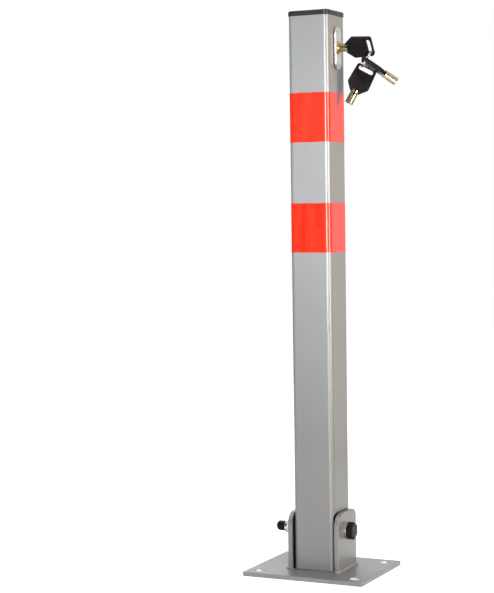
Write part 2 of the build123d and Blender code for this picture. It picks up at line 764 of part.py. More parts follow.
nodes = {
    "base_plate": make_base_plate(),
    "right_ear": make_ear(1),
    "left_ear": make_ear(-1),
    "right_ear_weld": make_ear_weld(1),
    "left_ear_weld": make_ear_weld(-1),
    "pivot_bolt": make_pivot_bolt(),
    "pivot_washers": make_pivot_washers(),
    "spacer_washers": make_spacer_washers(),
    "lock_nut": make_lock_nut(),
    "lock_nut_insert": make_lock_nut_insert(),
    "bolt_head_cap": make_bolt_head_cap(),
    "thread_end_cap": make_thread_end_cap(),
    "post_tube": make_post_tube(),
    "post_cap": make_post_cap(),
    "upper_band": make_band(first_band_top_z),
    "lower_band": make_band(second_band_top_z),
    "escutcheon": make_escutcheon(),
    "escutcheon_rivets": make_rivets(),
    "lock_barrel": make_lock_barrel(),
    "barrel_nut": make_barrel_nut(),
    "upper_rod_guide": make_guide(upper_guide_z),
    "lower_rod_guide": make_guide(lower_guide_z),
    "lift_spring": make_lift_spring(),
    "lock_plug": make_lock_plug(),
    "lock_pins": make_lock_pins(),
    "crank": make_crank(),
    "crank_pin": make_crank_pin(),
    "crank_screw": make_crank_screw(),
    "rod_head": make_rod_head(),
    "lifting_rod": make_lifting_rod(),
    "spring_collar": make_spring_collar(),
    "rod_cross_pins": make_cross_pins(),
    "key_shaft": key_place() * key_shaft,
    "key_bow": key_place() * key_bow,
    "key_ring": ring_place() * make_key_ring(),
    "first_spare_shaft": first_spare_place() * key_shaft,
    "first_spare_bow": first_spare_place() * key_bow,
    "second_spare_shaft": second_spare_place() * key_shaft,
    "second_spare_bow": second_spare_place() * key_bow,
}

os.makedirs("parts", exist_ok=True)
for name, shape in nodes.items():
    export_step(shape, f"parts/{name}.step")

print("pivot height", pivot_z, "lock height", lock_z, "rod lift", round(rod_lift, 3))
print_joint("ring_swing", key_place() * Pos(wire_point(key_wire_offset)), (0, 0, -1))
print_joint("first_spare_swing", place_on_ring(first_spare_round_ring, 0), (0, 1, 0))
print_joint("second_spare_swing", place_on_ring(second_spare_round_ring, 0), (0, 1, 0))
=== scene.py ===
# %% [markdown]
# A fold-down bollard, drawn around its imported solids. The post stands between two ears on a base plate.
# A key in its side turns a crank that lifts a rod out of the plate, and the post then folds back.
# This first cell loads the solids as a fixed frame. Everything after it is dressed around them in metres.

# %% Load the frame
import math

import bmesh
import bpy
from mathutils import Matrix, Vector


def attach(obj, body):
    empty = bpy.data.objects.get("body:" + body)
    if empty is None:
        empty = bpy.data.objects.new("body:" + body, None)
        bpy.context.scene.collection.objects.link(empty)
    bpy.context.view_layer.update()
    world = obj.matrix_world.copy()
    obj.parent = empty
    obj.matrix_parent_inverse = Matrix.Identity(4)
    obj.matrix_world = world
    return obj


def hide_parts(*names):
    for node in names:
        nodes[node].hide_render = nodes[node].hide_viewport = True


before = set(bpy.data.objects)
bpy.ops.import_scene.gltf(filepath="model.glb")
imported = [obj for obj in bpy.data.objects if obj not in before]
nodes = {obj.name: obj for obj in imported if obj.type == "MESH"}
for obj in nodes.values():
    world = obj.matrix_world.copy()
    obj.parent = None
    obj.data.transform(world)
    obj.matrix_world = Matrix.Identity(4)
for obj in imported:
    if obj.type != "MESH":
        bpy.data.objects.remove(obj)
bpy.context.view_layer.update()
scene = bpy.context.scene
MM = 0.001
QUARTER_TURN = math.radians(90)

# %% [markdown]
# The camera stands a little to the right of the front, at two thirds of the post's height, tipped slightly
# down. Its distance and focal length were found by fitting the post, its bands and the plate.

# %% Camera
image_width = 494
image_height = 593
sensor_size = 36.0
focal_pixels = 1661.67
camera_distance = 1942.4 * MM
camera_azimuth = math.radians(23.424)
camera_height = 433.0 * MM
camera_heading = camera_azimuth + math.radians(2.497)
camera_pitch = math.radians(3.184)
camera_roll = math.radians(-0.833)

camera_data = bpy.data.cameras.new("photo_camera")
camera_data.sensor_width = sensor_size
camera_data.lens = focal_pixels / max(image_width, image_height) * sensor_size
camera_data.clip_start = 0.05
camera_data.clip_end = 50.0
camera = bpy.data.objects.new("photo_camera", camera_data)
scene.collection.objects.link(camera)
scene.camera = camera
eye = Vector((math.sin(camera_azimuth), -math.cos(camera_azimuth), 0)) * camera_distance
eye.z = camera_height
heading_turn = Matrix.Rotation(camera_heading, 4, "Z")
level_turn = Matrix.Rotation(QUARTER_TURN - camera_pitch, 4, "X")
roll_turn = Matrix.Rotation(camera_roll, 4, "Z")
camera.matrix_world = Matrix.Translation(eye) @ heading_turn @ level_turn @ roll_turn
print("camera at", [round(part, 3) for part in eye], "lens", round(camera_data.lens, 1))

# %% [markdown]
# Every node tree here, for light, finishes and shapes, is wired by a few short helpers. The main one makes a
# node, and links its sockets or fills them with plain values.

# %% Helpers for node trees


def node(tree, kind, sockets=None, output=0, **settings):
    """One output of a new node; its sockets are linked, or filled with a plain value."""
    made = tree.nodes.new(kind)
    for setting, value in settings.items():
        setattr(made, setting, value)
    for key, value in (sockets or {}).items():
        for part in value if isinstance(value, list) else [value]:
            if isinstance(part, bpy.types.NodeSocket):
                tree.links.new(part, made.inputs[key])
            else:
                made.inputs[key].default_value = part
    return made.outputs[output] if made.outputs else None


def maths(tree, operation, first, second=0.0):
    """A Math node on two values or sockets."""
    return node(tree, "ShaderNodeMath", {0: first, 1: second}, operation=operation)


def vector_maths(tree, operation, first, second=(0, 0, 0), output="Vector"):
    """A Vector Math node on two vectors or sockets."""
    return node(tree, "ShaderNodeVectorMath", {0: first, 1: second}, output, operation=operation)


def spread(tree, value, from_range, to_range, smooth=False):
    """The same value on another range, held inside it, along a straight line or an S curve."""
    sockets = {"Value": value, "From Min": from_range[0], "From Max": from_range[1],
               "To Min": to_range[0], "To Max": to_range[1]}
    return node(tree, "ShaderNodeMapRange", sockets, interpolation_type="SMOOTHSTEP" if smooth else "LINEAR")


def shader_tree(owner):
    """The node tree of a material or world, emptied."""
    owner.use_nodes = True
    owner.node_tree.nodes.clear()
    return owner.node_tree


print("node helpers ready")

# %% [markdown]
# One soft lamp with a narrow spread stands in front, level with the upper half of the post, so the coat is
# brightest there and dims towards the foot. A warmer one lights the right face, a low one the foot, and large
# ones above and behind light the plate and the back. Dark cards stand out of view: the front face mirrors the
# one at the left, and the others put dark stripes into the keys' round tubes. Three of them only show in
# reflections, so they shade nothing.

# %% Lamps


def add_lamp(name, place, target, size, watts, colour=(1.0, 1.0, 1.0), spread_angle=180.0):
    """A soft rectangular lamp that points at a target, unseen by the camera. Its spread is in degrees."""
    data = bpy.data.lights.new(name, "AREA")
    data.shape = "RECTANGLE"
    data.size, data.size_y = size
    data.energy = watts
    data.color = colour
    data.spread = math.radians(spread_angle)
    lamp = bpy.data.objects.new(name, data)
    scene.collection.objects.link(lamp)
    aim = Vector(target) - Vector(place)
    lamp.matrix_world = Matrix.Translation(place) @ aim.to_track_quat("-Z", "Y").to_matrix().to_4x4()
    lamp.visible_camera = False


add_lamp("front_softbox", place=(0.10, -1.25, 0.52), target=(0, 0, 0.49), size=(0.55, 0.55), watts=1.2,
         colour=(0.95, 0.98, 1.0), spread_angle=33.0)
add_lamp("right_softbox", place=(1.3, -0.35, 0.50), target=(0, 0, 0.46), size=(0.6, 0.6), watts=2.05,
         colour=(1.0, 0.88, 0.70), spread_angle=52.0)
add_lamp("low_softbox", place=(0.45, -1.1, 0.12), target=(0, 0, 0.0), size=(0.5, 0.15), watts=0.18,
         colour=(1.0, 0.93, 0.86), spread_angle=28.0)
add_lamp("top_softbox", place=(-0.2, -0.3, 2.0), target=(0, 0, 0.3), size=(1.2, 1.2), watts=7.5)
add_lamp("rear_softbox", place=(-1.3, 1.2, 1.2), target=(0, 0, 0.35), size=(1.2, 1.0), watts=12.0)

# %% World and floor
room_light = 0.15
backdrop_light = 1.0
half_floor = 6.0
floor_paint_tone = 0.9
floor_glow_tone = 0.87


def grey(tone):
    """An opaque grey."""
    return (tone, tone, tone, 1)


def by_ray(tree, lighting, seen):
    """One shader for the rays that bring light, another for camera, glossy and transmission rays."""
    rays = tree.nodes.new("ShaderNodeLightPath").outputs
    direct = maths(tree, "MAXIMUM", rays["Is Camera Ray"], rays["Is Glossy Ray"])
    factor = maths(tree, "MAXIMUM", direct, rays["Is Transmission Ray"])
    return node(tree, "ShaderNodeMixShader", {"Fac": factor, 1: lighting, 2: seen})


def add_sheet(name, corners, material):
    """A flat sheet beside the model."""
    mesh = bpy.data.meshes.new(name)
    mesh.from_pydata(corners, [], [(0, 1, 2, 3)])
    mesh.materials.append(material)
    sheet = bpy.data.objects.new(name, mesh)
    scene.collection.objects.link(sheet)
    return sheet


def level_corners(low_x, low_y, high_x, high_y, z=0.0):
    """The corners of a level rectangle."""
    return [(low_x, low_y, z), (high_x, low_y, z), (high_x, high_y, z), (low_x, high_y, z)]


world = bpy.data.worlds.new("white_studio")
scene.world = world
tree = shader_tree(world)
backgrounds = [node(tree, "ShaderNodeBackground", {"Color": grey(1.0), "Strength": strength})
               for strength in (room_light, backdrop_light)]
node(tree, "ShaderNodeOutputWorld", {"Surface": by_ray(tree, *backgrounds)})

pale_floor = bpy.data.materials.new("pale_floor")
tree = shader_tree(pale_floor)
floor_paint = node(tree, "ShaderNodeBsdfDiffuse", {"Color": grey(floor_paint_tone)})
floor_glow = node(tree, "ShaderNodeEmission", {"Color": grey(floor_glow_tone)})
floor_both = node(tree, "ShaderNodeAddShader", {0: floor_paint, 1: floor_glow})
node(tree, "ShaderNodeOutputMaterial", {"Surface": by_ray(tree, floor_paint, floor_both)})
add_sheet("floor", level_corners(-half_floor, -half_floor, half_floor, half_floor), pale_floor)
scene.view_settings.view_transform = "Standard"
print("world", world.name, "floor", pale_floor.name)

# %% Cards
felt_tone = 0.05
dark_felt = bpy.data.materials.new("dark_felt")
tree = shader_tree(dark_felt)
node(tree, "ShaderNodeOutputMaterial",
     {"Surface": node(tree, "ShaderNodeBsdfDiffuse", {"Color": grey(felt_tone)})})


def add_card(name, corners, mirrored_only):
    """A dark card that the camera can't see, and that may take no light but only show in reflections."""
    card = add_sheet(name, corners, dark_felt)
    card.visible_camera = False
    card.visible_shadow = not mirrored_only
    card.visible_diffuse = not mirrored_only


def add_upright_card(name, azimuth, distance, width, low, high, mirrored_only=False):
    """An upright dark card that faces the post. Its azimuth is in degrees."""
    angle = math.radians(azimuth)
    middle = Vector((math.sin(angle), -math.cos(angle), 0)) * distance
    along = Vector((math.cos(angle), math.sin(angle), 0)) * width / 2
    foot = Vector((0, 0, low))
    top = Vector((0, 0, high))
    add_card(name, [middle - along + foot, middle + along + foot, middle + along + top, middle - along + top],
             mirrored_only)


add_upright_card("left_card", azimuth=-34.0, distance=1.5, width=1.45, low=0.0, high=1.7)
add_upright_card("camera_card", azimuth=26.0, distance=2.4, width=2.2, low=0.1, high=1.9)
for name, azimuth, distance in (("right_card", 110.0, 1.7), ("far_left_card", -105.0, 1.6)):
    add_upright_card(name, azimuth, distance, width=2.2, low=0.0, high=1.6, mirrored_only=True)
floor_card_corners = level_corners(low_x=0.35, low_y=-1.3, high_x=1.7, high_y=0.9, z=MM)
add_card("floor_card", floor_card_corners, mirrored_only=True)
print("cards in", dark_felt.name)

# %% [markdown]
# Every finish reads Object coordinates, which are metres here, so a noise scale of 400 makes marks of 2.5 mm.
# It needs three things that a flat colour lacks: a little change of colour, a little change of gloss, and a
# fine relief. Small helpers wire those up, so that each finish below reads like a recipe.

# %% Helpers for finishes


def new_finish(name):
    """An empty finish: its material, its tree, and the place in Object coordinates."""
    material = bpy.data.materials.new(name)
    tree = shader_tree(material)
    return material, tree, node(tree, "ShaderNodeTexCoord", output="Object")


def wire_up(tree, colour, roughness, normal, metallic=0.0, coat=0.0, coat_roughness=0.05, shine=0.5):
    """The shader of a finish, with its links and its constants. A shine of 0.5 is plain."""
    shader = node(tree, "ShaderNodeBsdfPrincipled",
                  {"Base Color": colour, "Roughness": roughness, "Normal": normal, "Metallic": metallic,
                   "Specular IOR Level": shine, "Coat Weight": coat, "Coat Roughness": coat_roughness})
    node(tree, "ShaderNodeOutputMaterial", {"Surface": shader})


def noise(tree, place, scale, detail=2.0, stretch=(1, 1, 1)):
    """A cloudy value from 0 to 1, drawn out where its stretch is small."""
    stretched = node(tree, "ShaderNodeMapping", {"Vector": place, "Scale": stretch})
    return node(tree, "ShaderNodeTexNoise", {"Vector": stretched, "Scale": scale, "Detail": detail}, "Fac")


def specks(tree, place, scale):
    """The distance to the nearest of many scattered points."""
    return node(tree, "ShaderNodeTexVoronoi", {"Vector": place, "Scale": scale}, "Distance")


def turning_marks(tree, place, axis):
    """Fine rings, as a lathe leaves them round an axis."""
    return node(tree, "ShaderNodeTexWave", {"Vector": place, "Scale": 900.0, "Distortion": 0.6}, "Fac",
                bands_direction=axis)


def mixed(tree, factor, first, second):
    """A colour between two others; each may be a colour or another mix."""
    colours = {key: (*colour, 1) if isinstance(colour, tuple) else colour
               for key, colour in (("A", first), ("B", second))}
    return node(tree, "ShaderNodeMix", {"Factor": factor, **colours}, "Result", data_type="RGBA")


def relief(tree, height, depth, under=None):
    """A bump of this depth in metres, laid over another where one is given."""
    sockets = {"Height": height, "Distance": depth}
    if under is not None:
        sockets["Normal"] = under
    return node(tree, "ShaderNodeBump", sockets)


print("finish helpers ready")

# %% [markdown]
# The post, ears and plate have one silver-grey coat, sprayed and baked. It holds fine metal flakes, so it
# glints a little. Its clear top film mirrors the surroundings at a flat angle, most of all on the plate, and
# is thinner on the post. Long faint streaks run down the tube, from the rolled steel under the coat.

# %% Silver-grey coat
coat_dark = (0.290, 0.295, 0.305)
coat_light = (0.320, 0.325, 0.333)
streak_tone = (0.35, 0.355, 0.36)
flake_tone = (0.62, 0.63, 0.64)
# The near black of the painted shade in the hinge's narrow gaps.
painted_shade_tone = (0.008, 0.008, 0.009)
peel_depth = 0.04 * MM
flake_depth = 0.008 * MM


def silver(name, coat, shade_mask=None):
    """The silver-grey coat; where a mask is given, painted shade darkens it to near black."""
    material, tree, place = new_finish(name)
    flakes = specks(tree, place, 2600.0)
    clouds = noise(tree, place, 9.0, detail=3.0)
    streaks = noise(tree, place, 60.0, detail=3.0, stretch=(1, 1, 0.03))
    tone = mixed(tree, clouds, coat_dark, coat_light)
    tone = mixed(tree, spread(tree, streaks, (0.35, 0.75), (0.0, 0.35)), tone, streak_tone)
    tone = mixed(tree, spread(tree, flakes, (0.0, 0.35), (0.22, 0.0)), tone, flake_tone)
    # Where the mask is 1, the coat is painted near black: painted shade of the gaps.
    if shade_mask is not None:
        tone = mixed(tree, shade_mask(tree, place), tone, painted_shade_tone)
    orange_peel = noise(tree, place, 420.0)
    wire_up(tree, tone, spread(tree, clouds, (0.3, 0.7), (0.36, 0.46)),
            relief(tree, orange_peel, peel_depth, relief(tree, flakes, flake_depth)),
            metallic=0.25, coat=coat, coat_roughness=0.12, shine=0.30)
    return material


silver_coat = silver("silver_coat", 0.3)
print("finish", silver_coat.name)

# %% [markdown]
# Where the post turns between its ears, the narrow gaps are painted nearly black: painted shade. The
# shade is a soft band along the ear's outline, on the ear's inner face and on the post behind it. The outline
# is a rounded box, so the band is worked out from how far a point lies from the box's core.

# %% Painted shade in the hinge
ear_half_depth = 27.5 * MM
ear_top = 72.5 * MM
shade_corner = 13.0 * MM
shade_reach = 0.9 * MM
shade_depth = -3.2 * MM
band_full = 7.5 * MM
band_fades = 11.0 * MM
side_starts = 23.7 * MM
side_full = 24.5 * MM


def along_rim(tree, place, past_rim):
    """A mask of 1 on a band inside the ear's outline that ends this far past it."""
    core = (0, ear_half_depth - shade_corner, ear_top - shade_corner)
    mirrored = vector_maths(tree, "ABSOLUTE", place)
    past_core = vector_maths(tree, "MAXIMUM", vector_maths(tree, "SUBTRACT", mirrored, core))
    past_core = vector_maths(tree, "MULTIPLY", past_core, (0, 1, 1))
    distance = vector_maths(tree, "LENGTH", past_core, output="Value")
    band_end = shade_corner + past_rim
    outer = spread(tree, distance, (band_end - shade_reach, band_end), (1.0, 0.0))
    inner = spread(tree, distance, (shade_corner - band_fades, shade_corner - band_full), (0.0, 1.0))
    return maths(tree, "MULTIPLY", outer, inner)


def on_post_sides(tree, place):
    """A mask of 1 on the post's two sides, where the ears cover them."""
    from_middle = node(tree, "ShaderNodeSeparateXYZ", {0: vector_maths(tree, "ABSOLUTE", place)}, "X")
    sideways = spread(tree, from_middle, (side_starts, side_full), (0.0, 1.0))
    return maths(tree, "MULTIPLY", along_rim(tree, place, shade_reach), sideways)


def inside_ears(tree, place):
    """A mask of 1 on an ear's inner face, away from its rim."""
    return along_rim(tree, place, shade_depth)


# The post's sides behind the ears and the ears' inner faces get painted shade.
post_coat = silver("post_coat", 0.2, on_post_sides)
hinge_painted_shade = silver("hinge_painted_shade", 0.1, inside_ears)
print("finishes", post_coat.name, hinge_painted_shade.name)

# %% [markdown]
# The bands are reflective film: saturated orange red under a clear face. Small air bubbles stay under film
# that is laid by hand, and it lies in faint vertical creases near the corners.

# %% Red film
film_light = (0.92, 0.030, 0.006)
film_dark = (0.84, 0.022, 0.005)
crease_tone = (0.95, 0.060, 0.024)
bubble_tone = (1.0, 0.17, 0.11)
crease_depth = 0.12 * MM
bubble_depth = 0.06 * MM
red_film, tree, place = new_finish("red_film")
bubble_mask = spread(tree, specks(tree, place, 190.0), (0.05, 0.14), (1.0, 0.0))
creases = noise(tree, place, 95.0, detail=4.0, stretch=(1, 1, 0.08))
cells = specks(tree, place, 1500.0)
film_tone = mixed(tree, spread(tree, cells, (0.1, 0.6), (0.0, 1.0)), film_light, film_dark)
film_tone = mixed(tree, spread(tree, creases, (0.45, 0.75), (0.0, 0.35)), film_tone, crease_tone)
film_tone = mixed(tree, bubble_mask, film_tone, bubble_tone)
wire_up(tree, film_tone, spread(tree, creases, (0.3, 0.7), (0.22, 0.38)),
        relief(tree, creases, crease_depth, relief(tree, bubble_mask, bubble_depth)),
        coat=0.5, coat_roughness=0.05, shine=0.25)
print("finish", red_film.name)

# %% [markdown]
# The post's cap has a fine spark-eroded grain, and the bolt caps and the keys' bows a smoother and deeper
# black that handling has polished in places. The nylon washers and the lock's seal are moulded too.

# %% Black plastics


def moulded(name, dark, light, grain, depth, roughness, shine=0.5):
    """A moulded plastic with a fine grain, whose depth is in mm, and uneven gloss."""
    material, tree, place = new_finish(name)
    smears = noise(tree, place, 120.0, detail=3.0)
    wire_up(tree, mixed(tree, smears, dark, light), spread(tree, smears, (0.3, 0.7), roughness),
            relief(tree, noise(tree, place, grain), depth * MM), shine=shine)
    return material


cap_plastic = moulded("cap_plastic", (0.012, 0.011, 0.011), (0.030, 0.027, 0.026), grain=1400.0, depth=0.03,
                      roughness=(0.30, 0.48), shine=0.35)
bow_plastic = moulded("bow_plastic", (0.004, 0.003, 0.0035), (0.014, 0.010, 0.011), grain=1900.0, depth=0.02,
                      roughness=(0.30, 0.50), shine=0.10)
bolt_plastic = moulded("bolt_plastic", (0.004, 0.003, 0.003), (0.020, 0.013, 0.012), grain=1600.0, depth=0.02,
                       roughness=(0.25, 0.45), shine=0.12)
seal_black_and_shade = moulded("seal_black_and_shade", (0.010, 0.010, 0.010), (0.022, 0.021, 0.021), grain=1100.0, depth=0.03,
                 roughness=(0.60, 0.80), shine=0.2)
nylon = moulded("nylon", (0.66, 0.64, 0.56), (0.76, 0.74, 0.68), grain=900.0, depth=0.02,
                roughness=(0.40, 0.55))
print("finishes", cap_plastic.name, bow_plastic.name, bolt_plastic.name, seal_black_and_shade.name, nylon.name)

# %% [markdown]
# Bare metals reflect with their own colour, so what changes from one to the next is that colour, how rough
# the plating is, and the direction of its fine marks: rings on turned parts, plain clouds on the others.

# %% Bare metals


def metal(name, dark, light, roughness, marks_axis=None, depth=0.01, tint_scale=160.0):
    """A plated or bare metal, with turning marks round an axis if there is one. Its depth is in mm."""
    material, tree, place = new_finish(name)
    tints = noise(tree, place, tint_scale, detail=3.0)
    marks = noise(tree, place, 1300.0) if marks_axis is None else turning_marks(tree, place, marks_axis)
    wire_up(tree, mixed(tree, tints, dark, light), spread(tree, tints, (0.3, 0.7), roughness),
            relief(tree, marks, depth * MM), metallic=1.0)
    return material


zinc_plate = metal("zinc_plate", (0.34, 0.35, 0.36), (0.46, 0.46, 0.46), (0.34, 0.48))
# A pale bright metal used only on the anchor holes' walls: painted light inside the holes.
hole_light_steel = metal("hole_light_steel", (0.72, 0.73, 0.74), (0.88, 0.88, 0.88), (0.20, 0.32))
warm_zinc = metal("warm_zinc", (0.56, 0.49, 0.38), (0.76, 0.71, 0.62), (0.18, 0.30), "X")
satin_chrome = metal("satin_chrome", (0.60, 0.59, 0.57), (0.68, 0.67, 0.65), (0.26, 0.34), depth=0.006,
                     tint_scale=60.0)
lock_brass = metal("lock_brass", (0.42, 0.31, 0.13), (0.62, 0.49, 0.24), (0.16, 0.28), "X")
key_nickel = metal("key_nickel", (0.34, 0.26, 0.16), (0.60, 0.50, 0.36), (0.12, 0.22), tint_scale=260.0)
ring_nickel = metal("ring_nickel", (0.62, 0.55, 0.53), (0.80, 0.74, 0.71), (0.12, 0.24))
spring_steel = metal("spring_steel", (0.20, 0.20, 0.21), (0.34, 0.33, 0.33), (0.26, 0.40))
print("metals ready")

# %% [markdown]
# Shapes come in four ways here. A slab with rounded edges is a flat curve, because a curve's bevel rounds the
# rim and the holes alike. A lofted or turned piece is a skin over rings of points. Repeated pieces and pieces
# along a path are Geometry Nodes. A hole that has to stay sharp is carved with a boolean.

# %% Helpers for outlines
HAIR = 0.001 * MM
circle_points = 48


def rounded_outline(corners, steps=8):
    """Points round a flat outline whose corners are (x, y, radius)."""
    outline = []
    for index, (x, y, radius) in enumerate(corners):
        corner = Vector((x, y))
        before = (Vector(corners[index - 1][:2]) - corner).normalized()
        after = (Vector(corners[(index + 1) % len(corners)][:2]) - corner).normalized()
        half_angle = before.angle(after) / 2
        centre = corner + (before + after).normalized() * radius / math.sin(half_angle)
        arm = corner + before * radius / math.tan(half_angle) - centre
        sweep = math.copysign(math.pi - 2 * half_angle, -before.cross(after))
        outline += [centre + Matrix.Rotation(sweep * step / steps, 2) @ arm for step in range(steps + 1)]
    return outline


def box_outline(width, height, radius, middle_x=0.0, steps=8):
    """Points round a rounded box."""
    right_x = middle_x + width / 2
    left_x = middle_x - width / 2
    return rounded_outline([(right_x, -height / 2, radius), (right_x, height / 2, radius),
                            (left_x, height / 2, radius), (left_x, -height / 2, radius)], steps)


def oblong_outline(width, height, middle_x=0.0, steps=8):
    """Points round an upright oblong with round ends, whose arcs stop a hair short of each other."""
    return box_outline(width, height, width / 2 - HAIR, middle_x, steps)


def circle_outline(radius, x, y):
    """Points round a circle."""
    angles = [2 * math.pi * index / circle_points for index in range(circle_points)]
    return [Vector((x + radius * math.cos(angle), y + radius * math.sin(angle))) for angle in angles]


def quarter_round(radius, steps=6):
    """How far a rounded rim is set in, and how far it lies under its top, from its side to its top."""
    angles = [math.pi / 2 * step / steps for step in range(steps + 1)]
    return [(radius * (1 - math.cos(angle)), radius * (1 - math.sin(angle))) for angle in angles]


print("a quarter round of 1 mm in", len(quarter_round(MM)), "points")

# %% Helpers for meshes
YZ_PLANE = Matrix(((0, 0, 1, 0), (1, 0, 0, 0), (0, 1, 0, 0), (0, 0, 0, 1)))


def as_mesh(holder):
    """The evaluated object as a plain mesh; the holder itself is removed."""
    scene.collection.objects.link(holder)
    bpy.context.view_layer.update()
    evaluated = holder.evaluated_get(bpy.context.evaluated_depsgraph_get())
    mesh = bpy.data.meshes.new_from_object(evaluated)
    bpy.data.objects.remove(holder)
    return mesh


def to_mesh(shape, name):
    """A new mesh from a bmesh, which is freed."""
    mesh = bpy.data.meshes.new(name)
    shape.to_mesh(mesh)
    shape.free()
    return mesh


def merged(mesh):
    """The mesh with its doubles merged and its faces pointing outwards."""
    shape = bmesh.new()
    shape.from_mesh(mesh)
    bmesh.ops.remove_doubles(shape, verts=shape.verts, dist=2 * HAIR)
    bmesh.ops.recalc_face_normals(shape, faces=shape.faces)
    return to_mesh(shape, mesh.name)


def joined(meshes):
    """One mesh of several."""
    shape = bmesh.new()
    for mesh in meshes:
        shape.from_mesh(mesh)
    return to_mesh(shape, "joined")


def slab(outlines, thickness, rounding, place):
    """A slab with rounded edges, centred on its plane: the first outline is the rim, the others are holes."""
    curve = bpy.data.curves.new("outline", "CURVE")
    curve.dimensions = "2D"
    curve.fill_mode = "BOTH"
    curve.extrude = thickness / 2 - rounding
    curve.bevel_depth = rounding
    curve.bevel_resolution = 2
    curve.offset = -rounding
    for outline in outlines:
        spline = curve.splines.new("POLY")
        spline.points.add(len(outline) - 1)
        for point, (x, y) in zip(spline.points, outline):
            point.co = (x, y, 0, 1)
        spline.use_cyclic_u = True
    mesh = as_mesh(bpy.data.objects.new("outline", curve))
    mesh.transform(place)
    return merged(mesh)


def skin(rings, closed=False):
    """A skin over rings of points, where one point is a pole. Closed joins the last ring to the first."""
    shape = bmesh.new()
    rows = [[shape.verts.new(point) for point in ring] for ring in rings]
    following_rows = rows[1:] + rows[:1] if closed else rows[1:]
    for low, high in zip(rows, following_rows):
        count = max(len(low), len(high))
        for index in range(count):
            after = (index + 1) % count
            corners = (low[index % len(low)], low[after % len(low)],
                       high[after % len(high)], high[index % len(high)])
            shape.faces.new(dict.fromkeys(corners))
    if not closed:
        for row in (rows[0], rows[-1]):
            if len(row) > 2:
                shape.faces.new(row)
    bmesh.ops.recalc_face_normals(shape, faces=shape.faces)
    return to_mesh(shape, "skin")


def prism_x(outline, from_x, to_x):
    """A flat outline of (y, z), pulled along X, for carving."""
    return skin([[Vector((x, y, z)) for y, z in outline] for x in (from_x, to_x)])


def bar_x(radius, from_x, to_x, z):
    """A round bar along X, for carving."""
    return prism_x(circle_outline(radius, 0.0, z), from_x, to_x)


def carved(mesh, *cutters):
    """The mesh with the cutters taken away."""
    holder = bpy.data.objects.new("carved", mesh)
    knife = bpy.data.objects.new("knife", joined(cutters))
    scene.collection.objects.link(knife)
    carve = holder.modifiers.new("carve", "BOOLEAN")
    carve.operation = "DIFFERENCE"
    carve.solver = "EXACT"
    carve.object = knife
    result = as_mesh(holder)
    bpy.data.objects.remove(knife)
    return merged(result)


print("mesh helpers ready")

# %% Helpers for pieces
CRISP_ANGLE = math.radians(35)


def add_piece(name, mesh, material, body, replaced, edge=0.0):
    """Puts a finished mesh on its body: smooth, crisp at corners, its edges broken where an edge is given."""
    mesh.materials.clear()
    mesh.materials.append(material)
    mesh.shade_smooth()
    mesh.set_sharp_from_angle(angle=CRISP_ANGLE)
    piece = bpy.data.objects.new(name, mesh)
    scene.collection.objects.link(piece)
    if edge > 0:
        broken = piece.modifiers.new("edge_break", "BEVEL")
        broken.width = edge
        broken.segments = 2
        broken.limit_method = "ANGLE"
        broken.angle_limit = CRISP_ANGLE
        broken.use_clamp_overlap = True
    piece.modifiers.new("even_shading", "WEIGHTED_NORMAL").keep_sharp = True
    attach(piece, body)
    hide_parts(*replaced)
    print("piece", name, "faces", len(mesh.polygons))
    return piece


def dress_faces(piece, material, chosen):
    """Gives the chosen faces of a piece a second finish."""
    piece.data.materials.append(material)
    faces = [face for face in piece.data.polygons if chosen(face)]
    for face in faces:
        face.material_index = 1
    print("second finish on", piece.name, "faces", len(faces))


print("piece helpers ready")

# %% [markdown]
# Each Geometry Nodes tree has a named input for every size. Its own function wires the shape, and the shared
# one below adds Realize Instances and Set Material at the end. The result is turned into a plain mesh, since
# the finished model keeps no node trees.

# %% Helpers for geometry nodes


def new_tree(build, sizes, material):
    """A geometry tree with one named input for each size, wired by its build function."""
    tree = bpy.data.node_groups.new(build.__name__, "GeometryNodeTree")
    tree.interface.new_socket("Path", in_out="INPUT", socket_type="NodeSocketGeometry")
    for size_name in sizes:
        tree.interface.new_socket(size_name, in_out="INPUT", socket_type="NodeSocketFloat")
    tree.interface.new_socket("Shape", in_out="OUTPUT", socket_type="NodeSocketGeometry")
    shape = build(tree, tree.nodes.new("NodeGroupInput").outputs)
    real = node(tree, "GeometryNodeRealizeInstances", {"Geometry": shape})
    dressed = node(tree, "GeometryNodeSetMaterial", {"Geometry": real, "Material": material})
    node(tree, "NodeGroupOutput", {0: dressed})
    print("tree", tree.name, "nodes", len(tree.nodes))
    return tree


def grown(tree, sizes, path=()):
    """The tree's result for these sizes, and along this path where it has one, as a plain mesh."""
    line = bpy.data.meshes.new(tree.name)
    line.from_pydata(path, [(index, index + 1) for index in range(len(path) - 1)], [])
    holder = bpy.data.objects.new(tree.name, line)
    growth = holder.modifiers.new("growth", "NODES")
    growth.node_group = tree
    for item in tree.interface.items_tree:
        if item.in_out == "INPUT" and item.name in sizes:
            growth[item.identifier] = sizes[item.name]
    return merged(as_mesh(holder))


def vector(tree, **parts):
    """A vector of the parts that are given, and 0 for the others."""
    return node(tree, "ShaderNodeCombineXYZ", parts)


def circle(tree, radius, count):
    """A round curve."""
    sizes = {"Resolution": count, "Radius": radius}
    return node(tree, "GeometryNodeCurvePrimitiveCircle", sizes, mode="RADIUS")


def spiral(tree, radius, turns, count):
    """A wire that goes round and round in its plane."""
    sizes = {"Resolution": count, "Rotations": turns, "Start Radius": radius, "End Radius": radius,
             "Height": 0.0}
    return node(tree, "GeometryNodeCurveSpiral", sizes)


def filleted(tree, curve, radius, count):
    """The curve with its corners rounded."""
    sizes = {"Curve": curve, "Count": count, "Radius": radius}
    return node(tree, "GeometryNodeFilletCurve", sizes, mode="POLY")


def evened(tree, curve, step):
    """The curve with a point at every step."""
    return node(tree, "GeometryNodeResampleCurve", {"Curve": curve, "Length": step}, mode="LENGTH")


